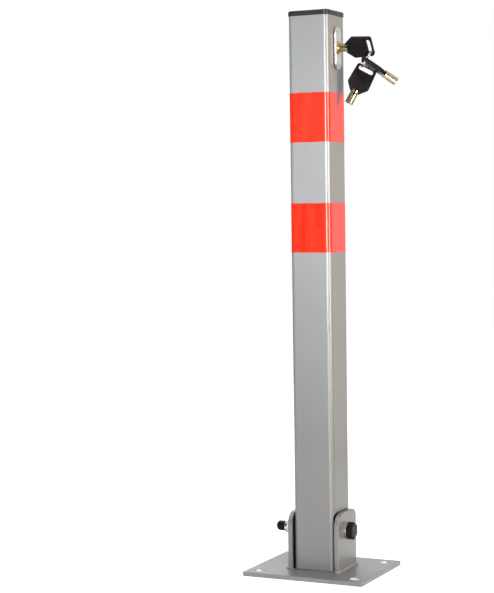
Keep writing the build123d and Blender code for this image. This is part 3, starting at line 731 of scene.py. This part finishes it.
def together(tree, *shapes):
    """Several shapes as one."""
    return node(tree, "GeometryNodeJoinGeometry", {"Geometry": list(shapes)})


def moved(tree, shape, **change):
    """The shape with a new Translation, Rotation or Scale."""
    return node(tree, "GeometryNodeTransform", {"Geometry": shape, **change})


def shifted(tree, shape, offset):
    """The shape with each of its points moved by an offset of its own."""
    return node(tree, "GeometryNodeSetPosition", {"Geometry": shape, "Offset": offset})


def swept(tree, line, section):
    """A closed sweep of a section along a line."""
    return node(tree, "GeometryNodeCurveToMesh", {"Curve": line, "Profile Curve": section, "Fill Caps": True})


def pulled(tree, rim, hole, height):
    """The ring between two flat curves, pulled up and closed."""
    foot = node(tree, "GeometryNodeFillCurve", {"Curve": together(tree, rim, hole)}, mode="TRIANGLES")
    sides = node(tree, "GeometryNodeExtrudeMesh",
                 {"Mesh": foot, "Offset": (0, 0, 1), "Offset Scale": height, "Individual": False})
    return together(tree, sides, node(tree, "GeometryNodeFlipFaces", {"Mesh": foot}))


def two_of(tree, shape, start, step):
    """The shape at both ends of a line."""
    line = node(tree, "GeometryNodeMeshLine", {"Count": 2, "Start Location": start, "Offset": step})
    return node(tree, "GeometryNodeInstanceOnPoints", {"Points": line, "Instance": shape})


def unevenness(tree, scale, reach):
    """A cloudy value round 0."""
    clouds = node(tree, "ShaderNodeTexNoise", {"Scale": scale, "Detail": 2.0})
    return maths(tree, "MULTIPLY", maths(tree, "SUBTRACT", clouds, 0.5), reach)


print("shape helpers ready")

# %% [markdown]
# The post is a rounded square, pulled straight up, and the film bands are the same square again, 0.2 mm
# thick, so one tree serves both. A band's rim wavers a little, as film does when it is laid and cut by hand,
# so the tree has an input for that, and the post sets it to 0.

# %% Square sleeve tree
post_width = 50.0 * MM
post_corner = 5.0 * MM
post_wall = 2.0 * MM
post_top = 648.0 * MM
post_bottom = 5.6 * MM
sleeve_sizes = {"Width": post_width, "Corner": post_corner, "Wall": post_wall, "Bottom": post_bottom,
                "Top": post_top, "Step": 0.8 * MM, "Wavering": 0.0}


def square_sleeve(tree, size):
    """The ring between two rounded squares, pulled up, with wavering rims."""
    inner_width = maths(tree, "SUBTRACT", size["Width"], maths(tree, "MULTIPLY", size["Wall"], 2.0))
    inner_corner = maths(tree, "SUBTRACT", size["Corner"], size["Wall"])
    squares = []
    for width, corner in ((size["Width"], size["Corner"]), (inner_width, inner_corner)):
        square = node(tree, "GeometryNodeCurvePrimitiveQuadrilateral", {"Width": width, "Height": width})
        squares.append(evened(tree, filleted(tree, square, corner, 12), size["Step"]))
    sleeve = pulled(tree, *squares, maths(tree, "SUBTRACT", size["Top"], size["Bottom"]))
    lifted = moved(tree, sleeve, Translation=vector(tree, Z=size["Bottom"]))
    return shifted(tree, lifted, vector(tree, Z=unevenness(tree, 70.0, size["Wavering"])))


sleeve_tree = new_tree(square_sleeve, sleeve_sizes, silver_coat)

# %% [markdown]
# The post's foot is flat in front and cut to an arc behind, so that it clears the plate as the post folds
# back. The arc's wedge and the holes for the bolt, the lock and its rivets are carved from the plain tube.

# %% Post tube
pivot_z = 50.0 * MM
lock_z = 611.0 * MM
sweep_radius = pivot_z - post_bottom
bolt_bore = 5.05 * MM
barrel_bore = 6.8 * MM
rivet_radius = 1.6 * MM
rivet_spacing = 40.0 * MM
half_post = post_width / 2
past_post = half_post + 5 * MM
drill_from = half_post - 4 * MM
arc_steps = 40


def lock_drills():
    """Bars that drill the lock's bore and its two rivet holes."""
    holes = ((0.0, barrel_bore), (-rivet_spacing / 2, rivet_radius), (rivet_spacing / 2, rivet_radius))
    return [bar_x(radius, drill_from, past_post, lock_z + above) for above, radius in holes]


wedge_outline = [(0.0, 0.0)]
for step in range(arc_steps + 1):
    arc_y = past_post * step / arc_steps
    wedge_outline.append((arc_y, pivot_z - math.sqrt(sweep_radius ** 2 - arc_y ** 2)))
wedge_outline.append((past_post, 0.0))
post_mesh = carved(grown(sleeve_tree, sleeve_sizes), prism_x(wedge_outline, -past_post, past_post),
                   bar_x(bolt_bore, -past_post, past_post, pivot_z), *lock_drills())
add_piece("post_skin", post_mesh, post_coat, "post", ["post_tube"])

# %% Film bands
band_height = 57.0 * MM
film_thickness = 0.2 * MM
rim_wavering = 0.7 * MM
for band_name, band_bottom in (("upper", 503.0 * MM), ("lower", 376.0 * MM)):
    band_sizes = dict(sleeve_sizes, Width=post_width + 2 * film_thickness, Wall=film_thickness,
                      Corner=post_corner + film_thickness, Bottom=band_bottom, Top=band_bottom + band_height,
                      Wavering=rim_wavering)
    add_piece(band_name + "_film", grown(sleeve_tree, band_sizes), red_film, "post",
              [band_name + "_band"])

# %% [markdown]
# The cap is one moulding: a lid with a soft edge and a skirt that grips the tube from inside, stiffened by a
# cross of webs. Lid and skirt are one skin over rounded squares that shrink and grow, like a lathe profile.

# %% Post cap
lid_width = 51.6 * MM
lid_height = 6.0 * MM
lid_corner = 5.8 * MM
lid_rounding = 1.8 * MM
lid_lip = 0.25 * MM
skirt_width = 45.7 * MM
skirt_corner = 3.0 * MM
skirt_wall = 2.0 * MM
skirt_depth = 14.0 * MM
inner_skirt = skirt_width - 2 * skirt_wall
inner_skirt_corner = 1.5 * MM
web_thickness = 1.6 * MM
web_depth = 9.0 * MM
web_overlap = 0.5 * MM


def square_ring(width, corner, z):
    """A rounded square of points at one height."""
    return [Vector((point.x, point.y, z)) for point in box_outline(width, width, corner)]


lid_rings = [square_ring(inner_skirt, inner_skirt_corner, post_top),
             square_ring(inner_skirt, inner_skirt_corner, post_top - skirt_depth),
             square_ring(skirt_width, skirt_corner, post_top - skirt_depth),
             square_ring(skirt_width, skirt_corner, post_top),
             square_ring(lid_width - 2 * lid_lip, lid_corner, post_top),
             square_ring(lid_width, lid_corner, post_top + lid_lip)]
lid_rings += [square_ring(lid_width - 2 * inset, lid_corner - inset, post_top + lid_height - drop)
              for inset, drop in quarter_round(lid_rounding)]
web_reach = inner_skirt / 2 + web_overlap
webs = []
for half_x, half_y in ((web_reach, web_thickness / 2), (web_thickness / 2, web_reach)):
    web_corners = [(-half_x, -half_y), (half_x, -half_y), (half_x, half_y), (-half_x, half_y)]
    webs.append(skin([[Vector((x, y, z)) for x, y in web_corners]
                      for z in (post_top - web_depth, post_top + web_overlap)]))
add_piece("cap_lid", joined([skin(lid_rings), *webs]), cap_plastic, "post", ["post_cap"])

# %% [markdown]
# The base plate and the ears are cut from 5 mm sheet, deburred, welded and then coated, and a thick coat
# rounds their edges. The ears' feet reach a little into the plate, so that no rounding shows at the joint.
# An ear's inner face keeps a sharp edge, so its slab is made thicker and the inner side is cut away flat.

# %% Base plate
plate_width = 150.0 * MM
plate_depth = 125.0 * MM
plate_thickness = 5.0 * MM
plate_corner = 2.0 * MM
plate_edge = 0.6 * MM
anchor_radius = 6.0 * MM
anchor_x = 60.0 * MM
anchor_y = 47.5 * MM
pin_hole_radius = 4.4 * MM
rod_x = -2.5 * MM
rod_y = -12.0 * MM
wall_slope = 0.3
plate_outlines = [box_outline(plate_width, plate_depth, plate_corner)]
plate_outlines += [circle_outline(anchor_radius, x, y)
                   for x in (-anchor_x, anchor_x) for y in (-anchor_y, anchor_y)]
plate_outlines.append(circle_outline(pin_hole_radius, rod_x, rod_y))
plate_place = Matrix.Translation((0, 0, plate_thickness / 2))
plate_mesh = slab(plate_outlines, plate_thickness, plate_edge, plate_place)
ground_plate = add_piece("ground_plate", plate_mesh, silver_coat, "base", ["base_plate"])


def in_anchor_hole(face):
    """Whether a face is on the wall of an anchor hole."""
    from_hole = Vector((abs(face.center.x) - anchor_x, abs(face.center.y) - anchor_y))
    return abs(face.normal.z) < wall_slope and from_hole.length < anchor_radius + plate_edge


# The anchor holes' walls are pale bright metal: painted light, so the holes look lit inside.
dress_faces(ground_plate, hole_light_steel, in_anchor_hole)

# %% Ears
ear_inner = 27.0 * MM
ear_thickness = 5.0 * MM
ear_depth = 2 * ear_half_depth
ear_front_radius = 16.0 * MM
ear_back_radius = 10.0 * MM
ear_foot_radius = 0.1 * MM
ear_edge = 0.8 * MM
ear_outer = ear_inner + ear_thickness
ear_foot = plate_thickness - ear_edge
trim_thickness = 2.0 * MM
ear_corners = [(ear_half_depth, ear_foot, ear_foot_radius), (ear_half_depth, ear_top, ear_back_radius),
               (-ear_half_depth, ear_top, ear_front_radius), (-ear_half_depth, ear_foot, ear_foot_radius)]
trim_corners = [(-ear_depth, 0.0), (ear_depth, 0.0), (ear_depth, 2 * ear_top), (-ear_depth, 2 * ear_top)]
for ear_name, side in (("right", 1), ("left", -1)):
    ear_place = Matrix.Translation((side * (ear_outer - (ear_thickness + ear_edge) / 2), 0, 0)) @ YZ_PLANE
    ear_mesh = slab([rounded_outline(ear_corners, 16)], ear_thickness + ear_edge, ear_edge, ear_place)
    ear_mesh = carved(ear_mesh, prism_x(trim_corners, side * (ear_inner - trim_thickness), side * ear_inner))
    ear_mesh = carved(ear_mesh, bar_x(bolt_bore, -ear_outer - MM, ear_outer + MM, pivot_z))
    ear = add_piece(ear_name + "_ear_plate", ear_mesh, silver_coat, "base",
                    [ear_name + "_ear"])
    # The ear's inner face takes the painted shade of the gap.
    dress_faces(ear, hinge_painted_shade, lambda face: abs(face.center.x) < ear_inner + 10 * HAIR)

# %% [markdown]
# Each ear has a fillet weld along its outside and round both ends. A bead is laid in overlapping pools, never
# quite evenly. The tree sweeps a circle along the ear's foot, ripples its radius by the length run, and lets
# a noise disturb it. The coat softens it all, so the ripple is slight.

# %% Weld beads
bead_bend = 1.8 * MM
bead_inset = 0.4 * MM
bead_ends_at = ear_inner + 1.2 * MM
bead_sizes = {"Radius": 2.2 * MM, "Step": 0.35 * MM, "Pitch": 1.6 * MM, "Ripple": 0.05,
              "Unevenness": 0.9 * MM}


def weld_bead(tree, size):
    """A bead along a path, whose radius ripples."""
    foot_line = node(tree, "GeometryNodeMeshToCurve", {"Mesh": size["Path"]})
    line = evened(tree, filleted(tree, foot_line, bead_bend, 6), size["Step"])
    length_run = node(tree, "GeometryNodeSplineParameter", output="Length")
    pools = maths(tree, "DIVIDE", maths(tree, "MULTIPLY", length_run, 2 * math.pi), size["Pitch"])
    ripple = maths(tree, "MULTIPLY", maths(tree, "SINE", pools), size["Ripple"])
    ripple = maths(tree, "ADD", ripple, 1.0)
    rippled = node(tree, "GeometryNodeSetCurveRadius", {"Curve": line, "Radius": ripple})
    bead = swept(tree, rippled, circle(tree, size["Radius"], 20))
    swell = unevenness(tree, 160.0, size["Unevenness"])
    outwards = {0: node(tree, "GeometryNodeInputNormal"), "Scale": swell}
    return shifted(tree, bead, node(tree, "ShaderNodeVectorMath", outwards, operation="SCALE"))


bead_tree = new_tree(weld_bead, bead_sizes, silver_coat)
bead_y = ear_half_depth + bead_inset
bead_z = plate_thickness + bead_inset
for ear_name, side in (("right", 1), ("left", -1)):
    bead_corners = [(bead_ends_at, -bead_y), (ear_outer + bead_inset, -bead_y),
                    (ear_outer + bead_inset, bead_y), (bead_ends_at, bead_y)]
    bead_path = [(side * x, y, bead_z) for x, y in bead_corners]
    add_piece(ear_name + "_weld_bead", grown(bead_tree, bead_sizes, bead_path), silver_coat, "base",
              [ear_name + "_ear_weld"])

# %% [markdown]
# Washers come in pairs on the pivot: steel ones under the bolt's head and the nut, and nylon ones that keep
# the post off the ears. One tree makes a flat ring and sets it at both ends of a short line along the bolt.

# %% Washer pairs
washer_sizes = {"Hole": bolt_bore, "Rim": 10.0 * MM, "Thickness": 2.0 * MM, "Spacing": 66.0 * MM,
                "Height": pivot_z}
spacer_sizes = dict(washer_sizes, Rim=11.0 * MM, Thickness=1.9 * MM, Spacing=52.1 * MM)


def washer_pair(tree, size):
    """A flat ring, set upright at both ends of a line along the bolt."""
    flat = pulled(tree, circle(tree, size["Hole"], 64), circle(tree, size["Rim"], 64), size["Thickness"])
    half_down = vector(tree, Z=maths(tree, "MULTIPLY", size["Thickness"], -0.5))
    upright = moved(tree, moved(tree, flat, Translation=half_down), Rotation=(0, QUARTER_TURN, 0))
    start = vector(tree, X=maths(tree, "MULTIPLY", size["Spacing"], -0.5), Z=size["Height"])
    return two_of(tree, upright, start, vector(tree, X=size["Spacing"]))


washer_tree = new_tree(washer_pair, washer_sizes, zinc_plate)
add_piece("washer_pair", grown(washer_tree, washer_sizes), zinc_plate, "base",
          ["pivot_washers"], edge=0.2 * MM)
add_piece("spacer_pair", grown(washer_tree, spacer_sizes), nylon, "base",
          ["spacer_washers"], edge=0.15 * MM)

# %% [markdown]
# The self-locking nut is a hexagon whose corners are turned off, with a round collar crimped over its nylon
# ring. Turning a corner off means holding each point inside a cone, so the skin's rings are a hexagon cut
# short by a circle that grows with depth.

# %% Lock nut
ring_count = 72
nut_flats = 17.0 * MM
nut_face_share = 0.96
nut_corner_slope = math.tan(math.radians(60))
nut_seat_x = -34.0 * MM
nut_hex_end_x = -42.6 * MM
nut_end_x = -46.0 * MM
collar_radius = 7.4 * MM
collar_mouth = 5.4 * MM
insert_groove = 6.2 * MM
mouth_end_x = nut_end_x + 1.2 * MM
groove_end_x = nut_end_x + 3.0 * MM


def hexagon_ring(x, flats, limit):
    """Points round a hexagon on the pivot, with a corner at the top, none further out than the limit."""
    points = []
    for index in range(ring_count):
        angle = 2 * math.pi * index / ring_count
        off_flat = angle % math.radians(60) - math.radians(30)
        reach = min(flats / 2 / math.cos(off_flat), limit)
        points.append(Vector((x, reach * math.sin(angle), pivot_z + reach * math.cos(angle))))
    return points


def pivot_ring(x, radius):
    """A round ring on the pivot that starts where a hexagon ring does."""
    return hexagon_ring(x, 4 * radius, radius)


def turned_corners(face_x, inward):
    """Rings from a face of the nut inwards over its turned-off corners."""
    face_radius = nut_face_share * nut_flats / 2
    return [hexagon_ring(face_x + inward * depth * MM, nut_flats, face_radius + depth * MM * nut_corner_slope)
            for depth in (0.0, 0.25, 0.5, 0.75, 1.0, 1.3)]


collar_profile = [(nut_hex_end_x, collar_radius), (nut_end_x + 1.0 * MM, collar_radius),
                  (nut_end_x + 0.35 * MM, collar_radius - 0.25 * MM), (nut_end_x, collar_radius - 0.9 * MM),
                  (nut_end_x, collar_mouth), (mouth_end_x, collar_mouth), (mouth_end_x, insert_groove),
                  (groove_end_x, insert_groove), (groove_end_x, bolt_bore), (nut_seat_x, bolt_bore)]
nut_rings = [*turned_corners(nut_seat_x, -1), *reversed(turned_corners(nut_hex_end_x, 1)),
             *[pivot_ring(x, radius) for x, radius in collar_profile]]
add_piece("hex_nut", skin(nut_rings, closed=True), warm_zinc, "base", ["lock_nut"])

# %% [markdown]
# Two black caps cover the bolt. The one on the head is a hexagonal cup that takes the head's shape, with soft
# edges and a slightly domed face. The other is a plain round cup with a domed end over the thread.

# %% Bolt head cap
head_seat_x = 34.0 * MM
head_cap_end_x = 41.6 * MM
head_cap_flats = 18.4 * MM
head_cap_wall = 1.1 * MM
head_cap_floor = 1.2 * MM
head_cap_rounding = 1.1 * MM
head_cap_lip = 0.15 * MM
lip_height = 0.2 * MM
dome_height = 0.3 * MM
dome_shoulder = 0.1 * MM
dome_share = 0.45
corner_softness = 0.35 * MM
corner_reach = head_cap_flats / math.sqrt(3) - corner_softness
inner_flats = head_cap_flats - 2 * head_cap_wall
cavity_end_x = head_cap_end_x - head_cap_floor
cup_rings = [[Vector((cavity_end_x, 0, pivot_z))], hexagon_ring(cavity_end_x, inner_flats, corner_reach),
             hexagon_ring(head_seat_x, inner_flats, corner_reach),
             hexagon_ring(head_seat_x, head_cap_flats - 2 * head_cap_lip, corner_reach - head_cap_lip),
             hexagon_ring(head_seat_x + lip_height, head_cap_flats, corner_reach)]
rim_end_x = head_cap_end_x - dome_height
cup_rings += [hexagon_ring(rim_end_x - drop, head_cap_flats - 2 * inset, corner_reach - inset)
              for inset, drop in quarter_round(head_cap_rounding)]
cup_rings += [hexagon_ring(head_cap_end_x - dome_shoulder, head_cap_flats * dome_share, corner_reach),
              [Vector((head_cap_end_x, 0, pivot_z))]]
add_piece("hex_cap", skin(cup_rings), bolt_plastic, "base", ["bolt_head_cap"])

# %% Thread end cap
end_cap_radius = 5.9 * MM
end_cap_tip_x = -57.6 * MM
end_cap_floor_x = -56.2 * MM
end_cap_mouth_x = -46.0 * MM
end_cap_dome = 4.0 * MM
end_cap_lip = 0.2 * MM
end_cap_profile = [(end_cap_floor_x, 4.05 * MM), (end_cap_floor_x + 1.2 * MM, 5.02 * MM),
                   (end_cap_mouth_x, bolt_bore), (end_cap_mouth_x, end_cap_radius - end_cap_lip),
                   (end_cap_mouth_x - end_cap_lip, end_cap_radius)]
end_cap_profile += [(end_cap_tip_x + drop, end_cap_radius - inset)
                    for inset, drop in quarter_round(end_cap_dome, 12)]
end_cap_rings = [[Vector((end_cap_floor_x, 0, pivot_z))],
                 *[pivot_ring(x, radius) for x, radius in end_cap_profile],
                 [Vector((end_cap_tip_x, 0, pivot_z))]]
add_piece("round_cap", skin(end_cap_rings), bolt_plastic, "base", ["thread_end_cap"])

# %% [markdown]
# The lock sits behind an oblong cast plate with satin chrome on it, over a thin rubber seal that is set in
# from its rim. Its dark line round the plate is partly the seal and partly painted shade of the gap under the
# rim. A slab rounds both its faces, so the seal's back is sunk into the tube's wall and the plate's back into
# the seal. The sharp holes are carved after the rounding.

# %% Escutcheon and seal
escutcheon_length = 49.0 * MM
escutcheon_width = 16.4 * MM
escutcheon_rounding = 0.9 * MM
escutcheon_face_x = half_post + 3.0 * MM
seal_face_x = half_post + 0.9 * MM
seal_inset = 0.5 * MM
seal_rounding = 0.2 * MM
sunk = 0.25 * MM


def lock_slab(inset, back_x, face_x, rounding):
    """An oblong slab on the post's right face, with its rim set in and with the lock's three holes."""
    outline = oblong_outline(escutcheon_width - 2 * inset, escutcheon_length - 2 * inset, steps=16)
    place = Matrix.Translation(((back_x + face_x) / 2, 0, lock_z)) @ YZ_PLANE
    return carved(slab([outline], face_x - back_x, rounding, place), *lock_drills())


plate_slab = lock_slab(0.0, seal_face_x - sunk, escutcheon_face_x, escutcheon_rounding)
add_piece("lock_plate", plate_slab, satin_chrome, "post", ["escutcheon"])
# The black seal's rim is partly a seal and partly painted shade of the gap under the plate.
add_piece("lock_seal_and_shade", lock_slab(seal_inset, half_post - sunk, seal_face_x, seal_rounding), seal_black_and_shade, "post",
          ["escutcheon"])

# %% [markdown]
# The plate's two rivets are the same, so one tree makes a rivet and sets it at both ends of a short upright
# line. A rivet is a low dome outside, a shank through plate and tube, and an upset tail inside.

# %% Rivets
rivet_middle_x = escutcheon_face_x - 2.5 * MM
rivet_sizes = {"Shank": rivet_radius - 10 * HAIR, "Head": 2.3 * MM, "Crown": 0.9 * MM, "Grip": 5.0 * MM,
               "Spacing": rivet_spacing}


def rivet_pair(tree, size):
    """A shank with a low dome at each end, set level at both ends of an upright line."""
    parts = [node(tree, "GeometryNodeMeshCylinder",
                  {"Vertices": 32, "Radius": size["Shank"], "Depth": size["Grip"]})]
    flattening = vector(tree, X=1.0, Y=1.0, Z=maths(tree, "DIVIDE", size["Crown"], size["Head"]))
    for end in (1, -1):
        ball = node(tree, "GeometryNodeMeshUVSphere", {"Segments": 32, "Rings": 16, "Radius": size["Head"]})
        end_place = vector(tree, Z=maths(tree, "MULTIPLY", size["Grip"], end / 2))
        parts.append(moved(tree, ball, Translation=end_place, Scale=flattening))
    level = moved(tree, together(tree, *parts), Rotation=(0, QUARTER_TURN, 0))
    start_z = maths(tree, "SUBTRACT", lock_z, maths(tree, "MULTIPLY", size["Spacing"], 0.5))
    return two_of(tree, level, vector(tree, X=rivet_middle_x, Z=start_z), vector(tree, Z=size["Spacing"]))


rivet_tree = new_tree(rivet_pair, rivet_sizes, satin_chrome)
add_piece("rivet_pair", grown(rivet_tree, rivet_sizes), satin_chrome, "post",
          ["escutcheon_rivets"])

# %% [markdown]
# The lock's housing and the keys' tubes are turned and drilled. Their solids already have each bore, cut and
# nub, so they are copied, their loose triangles merged, and their edges broken.

# %% Turned parts from the solids
flat_enough = math.radians(0.5)


def cleaned(name):
    """A copy of a solid's mesh whose loose triangles are merged into whole faces."""
    shape = bmesh.new()
    shape.from_mesh(nodes[name].data)
    bmesh.ops.remove_doubles(shape, verts=shape.verts, dist=HAIR)
    bmesh.ops.dissolve_limit(shape, angle_limit=flat_enough, verts=shape.verts, edges=shape.edges)
    return to_mesh(shape, name)


add_piece("barrel_housing", cleaned("lock_barrel"), lock_brass, "post", ["lock_barrel"],
          edge=0.12 * MM)
for shaft, body in (("key_shaft", "key"), ("first_spare_shaft", "first_spare_key"),
                    ("second_spare_shaft", "second_spare_key")):
    add_piece(shaft + "_tube", cleaned(shaft), key_nickel, body, [shaft], edge=0.1 * MM)

# %% [markdown]
# Each key's bow is a flat shield with rounded edges and a slot for the ring, made as a slab on its own plane
# and placed three times. The placements follow the real chain: the key stands in the lock, the ring hangs in
# its slot, and each spare key hangs on the ring.

# %% Places of the keys and the ring


def plane(x_dir, z_dir, origin=(0, 0, 0)):
    """The matrix of a plane that is given by its origin, its X direction and its normal."""
    x_axis = Vector(x_dir).normalized()
    z_axis = Vector(z_dir).normalized()
    turned_axes = Matrix((x_axis, z_axis.cross(x_axis), z_axis)).transposed()
    return Matrix.Translation(origin) @ turned_axes.to_4x4()


key_tip_x = 23.2 * MM
key_tilt = math.radians(125)
ring_radius = 11.7 * MM
hang_angle = math.radians(40)
slot_wire = Vector((43.6 * MM, -6.6 * MM, 0))
first_slot_wire = Vector((43.8 * MM, -6.1 * MM, 0))
second_slot_wire = Vector((43.0 * MM, 5.4 * MM, 0))
second_twist = math.radians(30)
to_ring = Vector((-math.sin(hang_angle), -math.cos(hang_angle), 0))
key_place = Matrix.Translation((key_tip_x, 0, lock_z)) @ Matrix.Rotation(key_tilt, 4, "X")
ring_normal = (math.cos(hang_angle), -math.sin(hang_angle), 0)
ring_place = key_place @ plane(-to_ring, ring_normal, slot_wire + ring_radius * to_ring)


def on_ring(angle, lean):
    """A place on the ring's wire, this far round it, leaning by this much; both in degrees."""
    turned = ring_place @ Matrix.Rotation(math.radians(angle), 4, "Z")
    return turned @ Matrix.Translation((ring_radius, 0, 0)) @ Matrix.Rotation(math.radians(lean), 4, "Y")


first_turn = plane((-1, 0, 0), (0, 1, 0))
second_turn = plane((0, 0, -1), (math.sin(second_twist), math.cos(second_twist), 0))
first_place = on_ring(angle=135, lean=-3.3) @ first_turn @ Matrix.Translation(-first_slot_wire)
second_place = on_ring(angle=75, lean=8) @ second_turn @ Matrix.Translation(-second_slot_wire)
print("key bow's slot stands at", [round(part / MM, 1) for part in key_place @ slot_wire])

# %% Key bows
bow_thickness = 4.5 * MM
bow_edge = 0.8 * MM
bow_corner = 3.2 * MM
neck_corner = 0.8 * MM
slot_length = 18.0 * MM
slot_width = 5.0 * MM
slot_x = 42.8 * MM
neck_x = 14.0 * MM
shoulder_x = 23.0 * MM
bow_end_x = 47.0 * MM
half_neck = 5.5 * MM
half_shoulder = 13.3 * MM
half_end = 12.0 * MM
bow_half = [(neck_x, -half_neck, neck_corner), (shoulder_x, -half_shoulder, bow_corner),
            (bow_end_x, -half_end, bow_corner)]
bow_outline = rounded_outline(bow_half + [(x, -y, radius) for x, y, radius in reversed(bow_half)])
slot_outline = oblong_outline(slot_width, slot_length, slot_x)
for bow, body, place in (("key_bow", "key", key_place), ("first_spare_bow", "first_spare_key", first_place),
                         ("second_spare_bow", "second_spare_key", second_place)):
    bow_mesh = slab([bow_outline, slot_outline], bow_thickness, bow_edge, place)
    add_piece(bow + "_shield", bow_mesh, bow_plastic, body, [bow])

# %% [markdown]
# A split ring is one flat wire wound almost twice. Its first turn lies in one plane, and where it meets its
# own start it steps over and runs on beside itself. The tree makes a spiral with no height, lifts each point
# by how far along the wire it is, and sweeps a soft-cornered rectangle along it.

# %% Split ring
ends_angle = math.radians(250)
step_over_share = (0.483, 0.520)
ring_sizes = {"Radius": ring_radius, "Turns": 1.91, "Wire Width": 1.6 * MM, "Wire Height": 1.28 * MM,
              "Softness": 0.35 * MM, "Lift": 0.66 * MM}


def split_ring(tree, size):
    """A flat wire that steps over its own start."""
    lifts = (maths(tree, "MULTIPLY", size["Lift"], -1.0), size["Lift"])
    lift = spread(tree, node(tree, "GeometryNodeSplineParameter"), step_over_share, lifts, smooth=True)
    wound = shifted(tree, spiral(tree, size["Radius"], size["Turns"], 96), vector(tree, Z=lift))
    upright = node(tree, "GeometryNodeSetCurveNormal", {"Curve": wound}, mode="Z_UP")
    section = node(tree, "GeometryNodeCurvePrimitiveQuadrilateral",
                   {"Width": size["Wire Width"], "Height": size["Wire Height"]})
    return swept(tree, upright, filleted(tree, section, size["Softness"], 4))


ring_mesh = grown(new_tree(split_ring, ring_sizes, ring_nickel), ring_sizes)
print("ring's height in mm", round(2 * max(vertex.co.z for vertex in ring_mesh.vertices) / MM, 2),
      "reach", round(max(vertex.co.x for vertex in ring_mesh.vertices) / MM, 2))
ring_mesh.transform(ring_place @ Matrix.Rotation(ends_angle, 4, "Z"))
add_piece("split_ring", ring_mesh, ring_nickel, "ring", ["key_ring"])

# %% [markdown]
# The spring round the rod pushes it down. A compression spring's end turns lie close together and its middle
# turns apart, so the height along the wire follows an S curve instead of a straight line.

# %% Lift spring
coil_sizes = {"Radius": 5.9 * MM, "Turns": 7.0, "Wire": 0.6 * MM, "Foot": 507.7 * MM, "Head": 559.3 * MM}


def lift_coil(tree, size):
    """A round wire that climbs round the rod."""
    height = spread(tree, node(tree, "GeometryNodeSplineParameter"), (0.0, 1.0), (size["Foot"], size["Head"]),
                    smooth=True)
    raised = shifted(tree, spiral(tree, size["Radius"], size["Turns"], 48), vector(tree, Z=height))
    return moved(tree, swept(tree, raised, circle(tree, size["Wire"], 12)), Translation=(rod_x, rod_y, 0))


coil_mesh = grown(new_tree(lift_coil, coil_sizes, spring_steel), coil_sizes)
add_piece("lift_coil", coil_mesh, spring_steel, "post", ["lift_spring"])

# %% [markdown]
# Everything else is inside the post or behind the caps. Its solids have the right shapes, so they stay and
# only take their finishes.

# %% Finishes on the hidden solids
hidden_finishes = {zinc_plate: ("pivot_bolt", "barrel_nut", "crank", "crank_pin", "crank_screw", "rod_head",
                                "lifting_rod", "spring_collar", "rod_cross_pins", "upper_rod_guide",
                                "lower_rod_guide"),
                   nylon: ("lock_nut_insert",), lock_brass: ("lock_plug", "lock_pins")}
for material, names in hidden_finishes.items():
    for name in names:
        nodes[name].data.materials.clear()
        nodes[name].data.materials.append(material)
print("hidden solids", sum(len(names) for names in hidden_finishes.values()))
